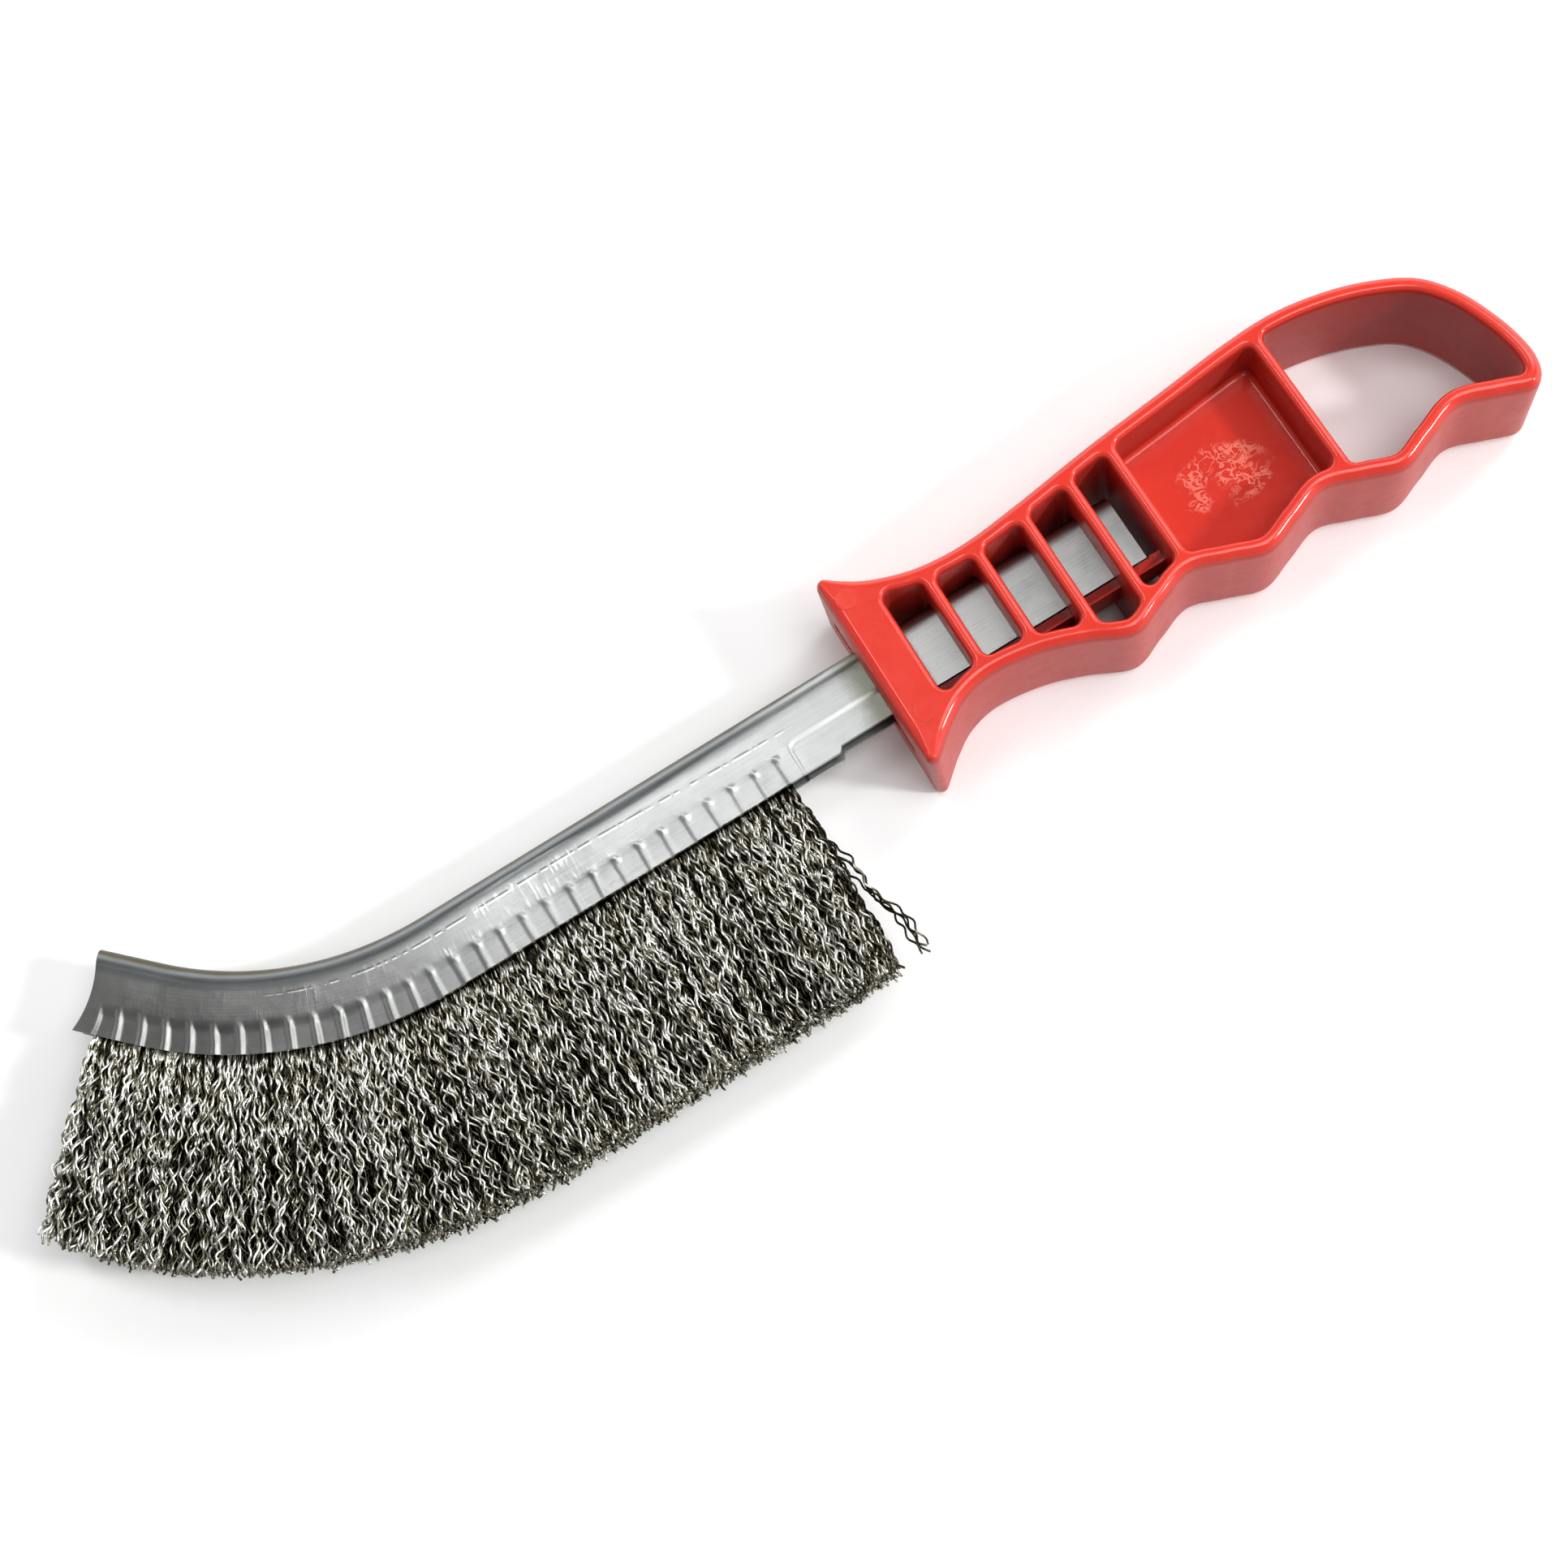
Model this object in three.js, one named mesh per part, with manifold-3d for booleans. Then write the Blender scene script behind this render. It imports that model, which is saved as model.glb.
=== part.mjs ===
// Hand-held wire brush with a sabre-shaped head, lying on its side. Millimetres, +Z up.
// +X runs along the neck towards the hang loop, +Y towards the spine, away from the wire.
// While the pieces are made, x = 0 is the front face of the handle's guard and y = 0 is the
// middle of the neck. The finished group is then moved so that the origin is at the middle of
// the bottom of its bounding box.
import * as THREE from 'three';
import { mergeVertices } from 'three/addons/utils/BufferGeometryUtils.js';
import Module from 'manifold-3d';

// ---- handle moulding
const HANDLE_THICKNESS = 20;
const WALL = 2.7;                    // outer wall, measured in the plane of the handle
const GUARD_FRONT_X = -0.6;
const GUARD_TIP_Y = 17.1;
const GUARD_CORNER = 1;
const FINGER_PITCH = 23.1;
const FINGER_DEPTH = 3.8;
const FIRST_BUMP_X = 35.2;
const BUMP_COUNT = 4;                // the last is the end of the hang loop
const FINGER_MIDDLE_Y = -13.9;
const RIB = 2;                       // cross ribs between the windows
const RIB_XS = [14, 22.3, 30.9, 39.3, 47.1];
const FIRST_WINDOW_X = 6.8;
const LOOP_RIB_X = 74.3;
const PANEL_WEB = 2;
const SLOT_WIDTH = 3;                // relief slot across the guard's front face
const SLOT_TOP_Y = 12.6;
const SLOT_BOTTOM_Y = -11;
const SLOT_DEPTH = 4.4;
const LEDGE_HEIGHT = 1.8;            // rib under the tang
const CLEARANCE = 0.3;

// ---- folded sheet channel
const SHEET = 0.8;
const MOUTH_Y = -5.8;
const CHANNEL_HEIGHT = 13;
const SPINE_RADIUS = 2.8;
const MOUTH_HALF_WIDTH = 2.3;
const CRIMP_HEIGHT = 4.2;
const SHOULDER_HEIGHT = 6;
const TANG_LENGTH = 44;
const TANG_STEP = 0.9;               // how much lower the legs of the tang are than the channel's
const TANG_STEP_AT = 9.9;            // where the legs step up, in front of the guard
const BEND_START = 77;               // distance from the guard to the start of the bend
const BEND_RADIUS = 68;              // at the mouth, on the outside of the bend
const BEND_ANGLE = THREE.MathUtils.degToRad(43.8);
const TIP_LENGTH = 10.4;
const BEND_END = BEND_START + BEND_RADIUS * BEND_ANGLE;
const CHANNEL_TIP = BEND_END + TIP_LENGTH;
const CHANNEL_STEPS = 40;
const DENT_DEPTH = 0.3;
const DENT_RIDGE = 0.9;
const DENT_HEIGHT = 4;

// ---- wire
const CORE_WIRE_RADIUS = 0.8;
const CORE_WIRE_HEIGHT = 10;         // above the mouth
const CORE_WIRE_STEPS = 34;
const BUNDLE_COUNT = 29;
const WIRE_START = 18.8;             // distance from the guard to the first bundle
const WIRE_END = CHANNEL_TIP - 2.9;
const BUNDLE_PITCH = (WIRE_END - WIRE_START) / BUNDLE_COUNT;
const BUNDLE_GAP = 0.3;
const TRIM_LENGTH = 32;
const TRIM_FAN = THREE.MathUtils.degToRad(49.5);
const TRIM_TIP_LOSS = 2;
const BUNDLE_HEAD_RADIUS = 1.7;
const BUNDLE_NECK_HALF = 1.2;
const BUNDLE_TIP_HALF = 6;

const MIDDLE_Z = HANDLE_THICKNESS / 2;
const OVERCUT = 1;

const wasm = await Module();
wasm.setup();

const redPlastic = () => new THREE.MeshStandardMaterial({ color: 0xd62a20, roughness: 0.32, metalness: 0 });
const zincSteel = () => new THREE.MeshStandardMaterial({ color: 0xa9b0b4, roughness: 0.38, metalness: 0.9 });
const brightWire = () => new THREE.MeshStandardMaterial({ color: 0x8c887c, roughness: 0.34, metalness: 0.95 });

function toSolid(geometry) {
  const bare = geometry.clone();
  bare.deleteAttribute('normal');
  bare.deleteAttribute('uv');
  const merged = mergeVertices(bare, 1e-4);
  const vertProperties = new Float32Array(merged.attributes.position.array);
  const triVerts = new Uint32Array(merged.index.array);
  return new wasm.Manifold(new wasm.Mesh({ numProp: 3, vertProperties, triVerts }));
}

function toGeometry(solid) {
  const mesh = solid.getMesh();
  const geometry = new THREE.BufferGeometry();
  geometry.setAttribute('position', new THREE.BufferAttribute(mesh.vertProperties, 3));
  geometry.setIndex(new THREE.BufferAttribute(mesh.triVerts, 1));
  return geometry;
}

function named(name, geometry, material) {
  const mesh = new THREE.Mesh(geometry, material);
  mesh.name = name;
  return mesh;
}

// A flat outline raised from z = low to z = high.
function prism(shape, low, high, curveSegments = 8) {
  const geometry = new THREE.ExtrudeGeometry(shape, { depth: high - low, bevelEnabled: false, curveSegments });
  return toSolid(geometry.translate(0, 0, low));
}

function box(low, high) {
  const size = high.map((value, i) => value - low[i]);
  const middle = high.map((value, i) => (value + low[i]) / 2);
  return toSolid(new THREE.BoxGeometry(...size).translate(...middle));
}

// ---- where the channel runs

// The point on the mouth line at distance s in front of the guard, and the direction to the spine.
function mouthAt(s) {
  const angle = THREE.MathUtils.clamp((s - BEND_START) / BEND_RADIUS, 0, BEND_ANGLE);
  const before = Math.min(s, BEND_START);
  const beyond = Math.max(s - BEND_END, 0);
  const x = -before - BEND_RADIUS * Math.sin(angle) - beyond * Math.cos(angle);
  const y = MOUTH_Y + BEND_RADIUS * (1 - Math.cos(angle)) + beyond * Math.sin(angle);
  return { point: new THREE.Vector2(x, y), up: new THREE.Vector2(Math.sin(angle), Math.cos(angle)) };
}

// The end of a wire that leaves the mouth at distance s. Round the bend the wires are trimmed to
// an arc about the bend's centre, and they fan out over TRIM_FAN.
function trimAt(s) {
  if (s <= BEND_START) return new THREE.Vector2(-s, MOUTH_Y - TRIM_LENGTH);
  const share = (s - BEND_START) / (CHANNEL_TIP - BEND_START);
  const angle = TRIM_FAN * share;
  const loss = TRIM_TIP_LOSS * Math.max(0, (share - 0.75) / 0.25);
  const radius = BEND_RADIUS + TRIM_LENGTH - loss;
  return new THREE.Vector2(
    -BEND_START - radius * Math.sin(angle),
    MOUTH_Y + BEND_RADIUS - radius * Math.cos(angle),
  );
}

// Draws a section (thickness, height above the mouth) from distance s0 to s1 along the channel.
function alongChannel(shape, s0, s1, steps = 1, curveSegments = 6) {
  const options = { depth: s1 - s0, steps, bevelEnabled: false, curveSegments };
  const geometry = new THREE.ExtrudeGeometry(shape, options);
  const place = geometry.attributes.position;
  for (let i = 0; i < place.count; i += 1) {
    const thickness = place.getX(i);
    const height = place.getY(i);
    const s = place.getZ(i) + s0;
    const mouth = mouthAt(s);
    const end = height >= 0
      ? mouth.point.addScaledVector(mouth.up, height)
      : mouth.point.lerp(trimAt(s), -height / TRIM_LENGTH);
    place.setXYZ(i, end.x, end.y, MIDDLE_Z + thickness);
  }
  return toSolid(geometry);
}

// ---- handle

function handlePoints() {
  const quarter = FINGER_PITCH / 4;
  const fingers = [];
  for (let i = 0; i < (BUMP_COUNT - 1) * 4; i += 1) {
    const y = FINGER_MIDDLE_Y - (FINGER_DEPTH / 2) * Math.cos((i * Math.PI) / 2);
    fingers.push([FIRST_BUMP_X + i * quarter, y]);
  }
  const underGuard = [[0.9, -16.7], [5.3, -13], [9.3, -10.6], [14.5, -9.6], [22, -10.6], [28.6, -12.9]];
  const loopEnd = [[103.3, -15.6], [105.6, -14.5], [106.7, -12], [106.8, -8.6], [105.9, -3.6], [103.6, 2.9]];
  const back = [[99.9, 8.2], [94.5, 11.6], [87.5, 14.2], [79, 15.7], [70, 15.5], [58.7, 14.3], [45, 12.9], [31, 11]];
  const backOfGuard = [[21.5, 10.1], [13.8, 10.7], [7.5, 12.7], [3.4, 15], [0.9, 16.9]];
  return [...underGuard, ...fingers, ...loopEnd, ...back, ...backOfGuard].map(([x, y]) => new THREE.Vector2(x, y));
}

function handleOutline() {
  const curve = new THREE.SplineCurve(handlePoints());
  const first = curve.points[0];
  const shape = new THREE.Shape();
  shape.moveTo(GUARD_FRONT_X, GUARD_CORNER - GUARD_TIP_Y);
  shape.quadraticCurveTo(GUARD_FRONT_X, -GUARD_TIP_Y - GUARD_CORNER / 2, first.x, first.y);
  for (const point of curve.getPoints(4 * curve.points.length).slice(1)) shape.lineTo(point.x, point.y);
  shape.quadraticCurveTo(GUARD_FRONT_X, GUARD_TIP_Y + GUARD_CORNER / 2, GUARD_FRONT_X, GUARD_TIP_Y - GUARD_CORNER);
  return shape;
}

// The outline moved inwards by the wall, from just behind the guard's face to the loop's end.
function cavityOutline() {
  const rim = handleOutline().extractPoints(6).shape;
  const inner = rim.map((point, i) => {
    const before = rim.at(i - 1);
    const after = rim[(i + 1) % rim.length];
    const along = after.clone().sub(before).normalize();
    return new THREE.Vector2(point.x - along.y * WALL, point.y + along.x * WALL);
  });
  const keepsWall = (point) => rim.every((edge) => edge.distanceTo(point) > WALL * 0.98);
  return new THREE.Shape(inner.filter((point) => point.x > FIRST_WINDOW_X - 2 && keepsWall(point)));
}

function tangPocket() {
  const half = SPINE_RADIUS + CLEARANCE;
  const spineMiddle = MOUTH_Y + CHANNEL_HEIGHT - SPINE_RADIUS;
  const section = new THREE.Shape();
  section.moveTo(-half, MOUTH_Y + TANG_STEP - CLEARANCE);
  section.lineTo(half, MOUTH_Y + TANG_STEP - CLEARANCE);
  section.lineTo(half, spineMiddle);
  section.absarc(0, spineMiddle, half, 0, Math.PI);
  const length = TANG_LENGTH + CLEARANCE + OVERCUT * 2;
  const geometry = new THREE.ExtrudeGeometry(section, { depth: length, bevelEnabled: false, curveSegments: 8 });
  geometry.rotateY(Math.PI / 2);
  return toSolid(geometry.translate(-OVERCUT * 2, 0, MIDDLE_Z));
}

function handle() {
  const top = HANDLE_THICKNESS + OVERCUT;
  const cavity = prism(cavityOutline(), -OVERCUT, top);
  const reach = HANDLE_THICKNESS;
  const cut = (x0, x1, low = -OVERCUT, high = top) => cavity.intersect(box([x0, -reach, low], [x1, reach, high]));
  let body = prism(handleOutline(), 0, HANDLE_THICKNESS);

  const starts = [FIRST_WINDOW_X, ...RIB_XS.slice(0, -1).map((x) => x + RIB / 2)];
  starts.forEach((start, i) => {
    body = body.subtract(cut(start, RIB_XS[i] - RIB / 2));
  });

  const panelStart = RIB_XS.at(-1) + RIB / 2;
  const panelEnd = LOOP_RIB_X - RIB / 2;
  body = body.subtract(cut(panelStart, panelEnd, MIDDLE_Z + PANEL_WEB / 2));
  body = body.subtract(cut(panelStart, panelEnd, -OVERCUT, MIDDLE_Z - PANEL_WEB / 2));
  body = body.subtract(cut(LOOP_RIB_X + RIB / 2, LOOP_RIB_X + 60));

  const ledgeTop = MOUTH_Y + TANG_STEP;
  const ledge = box(
    [FIRST_WINDOW_X - 1, ledgeTop - LEDGE_HEIGHT, MIDDLE_Z - SPINE_RADIUS],
    [panelStart - RIB / 2, ledgeTop, MIDDLE_Z + SPINE_RADIUS],
  );
  const frontSlot = box(
    [GUARD_FRONT_X - OVERCUT, SLOT_BOTTOM_Y, MIDDLE_Z - SLOT_WIDTH / 2],
    [SLOT_DEPTH, SLOT_TOP_Y, MIDDLE_Z + SLOT_WIDTH / 2],
  );
  return body.add(ledge).subtract(tangPocket()).subtract(frontSlot);
}

// ---- channel

function channelSection() {
  const spineMiddle = CHANNEL_HEIGHT - SPINE_RADIUS;
  const innerMouth = MOUTH_HALF_WIDTH - SHEET;
  const innerRadius = SPINE_RADIUS - SHEET;
  const section = new THREE.Shape();
  section.moveTo(MOUTH_HALF_WIDTH, 0);
  section.lineTo(MOUTH_HALF_WIDTH, CRIMP_HEIGHT);
  section.lineTo(SPINE_RADIUS, SHOULDER_HEIGHT);
  section.lineTo(SPINE_RADIUS, spineMiddle);
  section.absarc(0, spineMiddle, SPINE_RADIUS, 0, Math.PI);
  section.lineTo(-SPINE_RADIUS, SHOULDER_HEIGHT);
  section.lineTo(-MOUTH_HALF_WIDTH, CRIMP_HEIGHT);
  section.lineTo(-MOUTH_HALF_WIDTH, 0);
  section.lineTo(-innerMouth, 0);
  section.lineTo(-innerMouth, CRIMP_HEIGHT);
  section.lineTo(-innerRadius, SHOULDER_HEIGHT);
  section.lineTo(-innerRadius, spineMiddle);
  section.absarc(0, spineMiddle, innerRadius, Math.PI, 0, true);
  section.lineTo(innerRadius, SHOULDER_HEIGHT);
  section.lineTo(innerMouth, CRIMP_HEIGHT);
  section.lineTo(innerMouth, 0);
  return section;
}

// The press marks that squeeze each bundle: one shallow pocket on each leg.
function crimpDents(index) {
  const s0 = WIRE_START + index * BUNDLE_PITCH + DENT_RIDGE / 2;
  const s1 = WIRE_START + (index + 1) * BUNDLE_PITCH - DENT_RIDGE / 2;
  return [-1, 1].map((side) => {
    const near = side * (MOUTH_HALF_WIDTH - DENT_DEPTH);
    const far = side * (MOUTH_HALF_WIDTH + OVERCUT);
    const corners = [[near, -OVERCUT], [far, -OVERCUT], [far, DENT_HEIGHT], [near, DENT_HEIGHT - DENT_DEPTH]];
    if (side < 0) corners.reverse();
    return alongChannel(new THREE.Shape(corners.map(([x, y]) => new THREE.Vector2(x, y))), s0, s1);
  });
}

function channel() {
  let body = alongChannel(channelSection(), -TANG_LENGTH, CHANNEL_TIP, CHANNEL_STEPS, 5);
  for (let i = 0; i < BUNDLE_COUNT; i += 1) {
    for (const dent of crimpDents(i)) body = body.subtract(dent);
  }
  const step = box(
    [-TANG_STEP_AT, MOUTH_Y - OVERCUT, 0],
    [TANG_LENGTH + OVERCUT, MOUTH_Y + TANG_STEP, HANDLE_THICKNESS],
  );
  return body.subtract(step);
}

// ---- wire

function coreWire() {
  const section = new THREE.Shape();
  section.absarc(0, CORE_WIRE_HEIGHT, CORE_WIRE_RADIUS, 0, Math.PI * 2);
  return alongChannel(section, WIRE_START + BUNDLE_GAP, CHANNEL_TIP - BUNDLE_GAP, CORE_WIRE_STEPS, 5);
}

// One bundle of crimped wire: folded over the core wire, pinched at the mouth, spread at the trim.
function wireBundle(index) {
  const section = new THREE.Shape();
  section.moveTo(-BUNDLE_TIP_HALF, -TRIM_LENGTH);
  section.lineTo(BUNDLE_TIP_HALF, -TRIM_LENGTH);
  section.lineTo(BUNDLE_NECK_HALF, 0);
  section.lineTo(BUNDLE_NECK_HALF, CRIMP_HEIGHT);
  section.lineTo(BUNDLE_HEAD_RADIUS, SHOULDER_HEIGHT + 1);
  section.absarc(0, CORE_WIRE_HEIGHT, BUNDLE_HEAD_RADIUS, 0, Math.PI);
  section.lineTo(-BUNDLE_HEAD_RADIUS, SHOULDER_HEIGHT + 1);
  section.lineTo(-BUNDLE_NECK_HALF, CRIMP_HEIGHT);
  section.lineTo(-BUNDLE_NECK_HALF, 0);
  const eye = new THREE.Path();
  eye.absarc(0, CORE_WIRE_HEIGHT, CORE_WIRE_RADIUS + BUNDLE_GAP, 0, Math.PI * 2, true);
  section.holes.push(eye);
  const s0 = WIRE_START + index * BUNDLE_PITCH + BUNDLE_GAP / 2;
  return alongChannel(section, s0, s0 + BUNDLE_PITCH - BUNDLE_GAP, 1, 4);
}

const brush = new THREE.Group();
brush.add(named('handle', toGeometry(handle()), redPlastic()));
brush.add(named('channel', toGeometry(channel()), zincSteel()));
brush.add(named('core_wire', toGeometry(coreWire()), zincSteel()));
for (let i = 0; i < BUNDLE_COUNT; i += 1) {
  const name = `wire_bundle_${String(i + 1).padStart(2, '0')}`;
  brush.add(named(name, toGeometry(wireBundle(i)), brightWire()));
}

const extent = new THREE.Box3().setFromObject(brush);
const middle = extent.getCenter(new THREE.Vector3());
brush.position.set(-middle.x, -middle.y, -extent.min.z);

export default brush;
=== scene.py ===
"""Looks of a sabre-shaped hand wire brush: red moulded handle, crimped zinc channel, crimped wire.

Shapes are worked out in millimetres in the brush's own frame, where x = 0 is the front face of
the handle's guard and y = 0 is the middle of the neck, and are moved into the row frame, in
metres, by row(). Along the channel a place is given by s, the distance in front of the guard,
h, the height above the channel's mouth, and t, the distance from the brush's middle plane.
"""

import math

import bmesh
import bpy
import numpy as np
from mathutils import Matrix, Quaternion, Vector
from mathutils.geometry import delaunay_2d_cdt


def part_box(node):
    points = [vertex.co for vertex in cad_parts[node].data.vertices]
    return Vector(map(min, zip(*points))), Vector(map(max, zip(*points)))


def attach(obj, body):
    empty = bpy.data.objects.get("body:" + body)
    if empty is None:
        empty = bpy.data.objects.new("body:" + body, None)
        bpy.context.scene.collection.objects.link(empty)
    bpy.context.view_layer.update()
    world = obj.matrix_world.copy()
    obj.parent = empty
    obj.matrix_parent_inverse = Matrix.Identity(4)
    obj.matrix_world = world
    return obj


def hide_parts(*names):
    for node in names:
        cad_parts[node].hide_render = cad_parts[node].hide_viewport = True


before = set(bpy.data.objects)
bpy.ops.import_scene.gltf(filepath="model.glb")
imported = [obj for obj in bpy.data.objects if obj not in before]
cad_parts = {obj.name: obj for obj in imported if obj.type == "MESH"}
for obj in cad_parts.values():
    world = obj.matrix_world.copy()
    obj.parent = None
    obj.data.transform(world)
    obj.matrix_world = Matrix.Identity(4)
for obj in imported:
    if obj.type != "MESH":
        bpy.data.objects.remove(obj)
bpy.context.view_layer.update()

MM = 0.001

# ---- the brush's driving sizes, in mm, as in the CAD part
THICKNESS = 20.0
MIDDLE_Z = THICKNESS / 2
WALL = 2.7
GUARD_FRONT_X = -0.6
GUARD_TIP_Y = 17.1
GUARD_TIP_RADIUS = 1.2
FINGER_PITCH = 23.1
FINGER_DEPTH = 3.8
FIRST_BUMP_X = 35.2
BUMP_COUNT = 4  # the last is the end of the hang loop
FINGER_MIDDLE_Y = -13.9
RIB = 2.0
RIB_XS = (14.0, 22.3, 30.9, 39.3, 47.1)
FIRST_WINDOW_X = 6.8
LOOP_RIB_X = 74.3
PANEL_WEB = 2.0
SLOT_WIDTH = 3.0  # relief slot across the guard's front face
SLOT_DEPTH = 4.4
SLOT_TOP_Y = 12.6
SLOT_BOTTOM_Y = -11.0
LEDGE_HEIGHT = 1.8  # rib under the tang
CLEARANCE = 0.3

SHEET = 0.8
MOUTH_Y = -5.8
CHANNEL_HEIGHT = 13.0
SPINE_RADIUS = 2.8
MOUTH_HALF_WIDTH = 2.3
CRIMP_HEIGHT = 4.2
SHOULDER_HEIGHT = 6.0
TANG_LENGTH = 44.0
TANG_STEP = 0.9
TANG_STEP_AT = 9.9
BEND_START = 77.0
BEND_RADIUS = 68.0
BEND_ANGLE = math.radians(43.8)
BEND_END = BEND_START + BEND_RADIUS * BEND_ANGLE
CHANNEL_TIP = BEND_END + 10.4

BUNDLE_COUNT = 29
WIRE_START = 18.8
WIRE_END = CHANNEL_TIP - 2.9
BUNDLE_PITCH = (WIRE_END - WIRE_START) / BUNDLE_COUNT
TRIM_LENGTH = 32.0
TRIM_FAN = math.radians(49.5)
TRIM_TIP_LOSS = 2.0
CORE_WIRE_HEIGHT = 10.0
CORE_WIRE_RADIUS = 0.8

# ---- what only the visual has, in mm: rims, fillets and marks of the moulding
GUARD_CORNER_Y = GUARD_TIP_Y + 1.0  # where the guard's corners would be without their rounding
RIM_RADIUS = 1.6  # width of the rounding along the outer rims
RIM_DROP = 2.1  # and its height
RIM_EASE = 7  # ring points over which a narrower rounding eases in
RIM_CORNER_SHARE = 0.75  # the rounding's width is at most this share of a corner's radius
HOLE_RIM_RADIUS = 0.88
HOLE_RIM_DROP = 1.2
CELL_CORNER_RADIUS = 1.25  # upright corners of the windows, the panel and the loop
FLOOR_RADIUS = 0.9
FILLET_STEPS = 6
ARC_POINTS = 9  # points of each rounded corner of an outline
SHARP_TURN = 0.4  # radians from which on an outline's corner is rounded
RING_FLAT = 0.06  # a last ring in the plane of a face keeps its shading flat
OUTLINE_SPACING = 0.3
CELL_SPACING = 0.32
FLOOR_GRID = 0.6
OUTSIDE = 3.0  # how far a cut starts in front of the guard
PATCH_MIDDLE = (61.0, 0.0)  # the scuffed patch on the panel's floor
PATCH_HALF_SIZE = (10.0, 7.5)
PATCH_HEIGHT = 0.06
SHADED_CORNERS_END = (9.4, 8.6)  # painted shade in hollow corners, up to these distances from the middle plane
STROKES_HALF_SIZE = (8.2, 5.6)
STROKES_DEPTH = (1.6, 1.3)  # the strokes end between these distances from the middle plane
PIN_MARKS = ((3.2, -9.2), (2.3, 11.8))
PIN_MARK_RADIUS = 1.7
PIN_MARK_HEIGHT = 0.05

# ---- the channel's press marks, recess and cut end
PINCH_START = 15.0  # the legs lean in from here on, fully from PINCH_END on
PINCH_END = 24.0
DENT_RIDGE = 0.95  # width left standing between two press marks
DENT_EDGE = 0.3
DENT_TOP = CRIMP_HEIGHT - 0.15
DENT_TOP_SCATTER = 0.25
DENT_TOP_EDGE = 0.8  # the marks fade out upwards
DENT_STRENGTHS = (0.8, 1.15)
DENT_SLANT = 0.05
DENT_SHALLOW = 0.08  # depth of the marks near the guard
DENT_DEEPENING = 0.32  # and how much deeper they get
DENT_SHALLOW_UNTIL = 60.0
DENT_DEEP_AT = 120.0  # distance from the guard where the marks reach full depth
DENT_BOW = 0.03  # the deep marks bow sideways by this times the height squared
DENT_BOW_START = 95.0
TICK_HEIGHT = 0.17  # a small raised wedge at the top of each ridge
TICK_HALF_LENGTH = 0.6
TICK_HALF_WIDTH = 0.38
TICK_SLANT = 0.35
TICK_RISE = 0.25
TICK_END = 100.0  # the wedges fade out from here to DENT_DEEP_AT
RECESS_START = 16.4  # the pressed recess on the neck reaches from here into the guard
RECESS_TOP = 5.2
RECESS_FADE = (-3.5, -1.5)  # and fades out between these distances, out of sight
RECESS_DEPTH = 0.18
RECESS_CORNER = 1.2
RECESS_EDGE = 0.15
WAVINESS = 0.05
WAVINESS_SIZE = 26.0
TIP_HOLLOW = 1.4  # how far the cut end is hollowed at mid height
TIP_HOLLOW_LENGTH = 9.0
STEP_EDGE = 0.25
STATIONS = ((-TANG_LENGTH, -4.0, 1.0), (-4.0, 10.0, 0.5), (10.0, CHANNEL_TIP, 0.24))  # from, to, step
LEG_SAMPLES = 27
SPINE_SAMPLES = 19

# ---- the wires
WIRE_RADIUS = 0.185
WIRE_SIDES = 6
HAIRPINS = 60  # folded wires in each bundle
STRAYS = 2  # wires that stand off the first bundle, towards the handle
STRAY_ROOT = (0.3, 1.2)
STRAY_LEAN = (3.0, 9.0)
STRAY_CURVE = 1.4
ROOT_MARGIN = 0.1
AT_MOUTH = (0.1, 1.0)  # how far from the middle plane a wire leaves the mouth
POINT_SPACING = 0.45
TRIM_SCATTER = 0.4
SPREAD = 5.6  # half the pack's thickness at the trim
SPREAD_CURVE = 0.85
SPREAD_AT_MOUTH = 1.1
SPREAD_ORDER = 0.8  # how far the wires keep the order that they have at the mouth
SPREAD_SCATTER = (-0.15, 0.3)
SPREAD_LIMIT = 1.05
LEAN = 1.5  # how far a wire's end typically strays along the channel
WAVE_LENGTHS = (2.6, 3.8)  # the crimp: its wave lengths and its half heights both ways
WAVE_ALONG = (0.16, 0.32)
WAVE_ACROSS = (0.12, 0.28)
WAVE_TWIST = 0.8
WAVE_BEGINS = (-0.5, 2.5)  # depth below the mouth over which the crimp begins
WANDER_LENGTHS = (8.0, 15.0)  # slower bends on top of the crimp
WANDER_ALONG = 0.5
WANDER_ALONG_FULL = 8.0  # depth below the mouth where they reach their full height
WANDER_ACROSS = 0.9
WANDER_ACROSS_FULL = 10.0
LAYERS = (0.03, 0.62)  # gap between a wire and the core wire
PAINTED_LIGHT_REACH = (0.35, 1.0)  # share of the pack's half thickness over which painted light comes in on the outer wires
PAINTED_LIGHT_END = 0.8  # share of the wire's length beyond which all wires get painted light
PAINTED_LIGHT_AT_TRIM = 0.75
PAINTED_HIGHLIGHT_CREST = 0.45  # the part of the painted light that only the crests of the waves get, as painted highlights
INSIDE_SAMPLES = 9
LOOP_SAMPLES = 5

# ---- where the sheet's marks lie, in mm along the channel and above its mouth
WRINKLES_ALONG = (42.0, 60.0, 128.0, 137.0)
WRINKLES_UP = (4.2, 5.2, 8.6, 10.0)
AGED_AND_SHADED_ALONG = (55.0, 118.0)
SHOULDER_ALONG = (8.0, 26.0)
SHOULDER_UP = (8.9, 10.3)
SPINE_REFLECTION_UP = (12.2, 13.0)
NEAR_GUARD_ALONG = (7.0, 3.0)  # darker next to the guard, fading out away from it
CREASE_ALONG = (12.0, 22.0, 96.0, 112.0)
CREASE_RISE_ALONG = (14.0, 60.0)
CREASE_UP = (7.3, 8.5)
CREASE_SHADOW = 0.3  # distance from the painted highlight to the painted shadow above it
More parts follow.
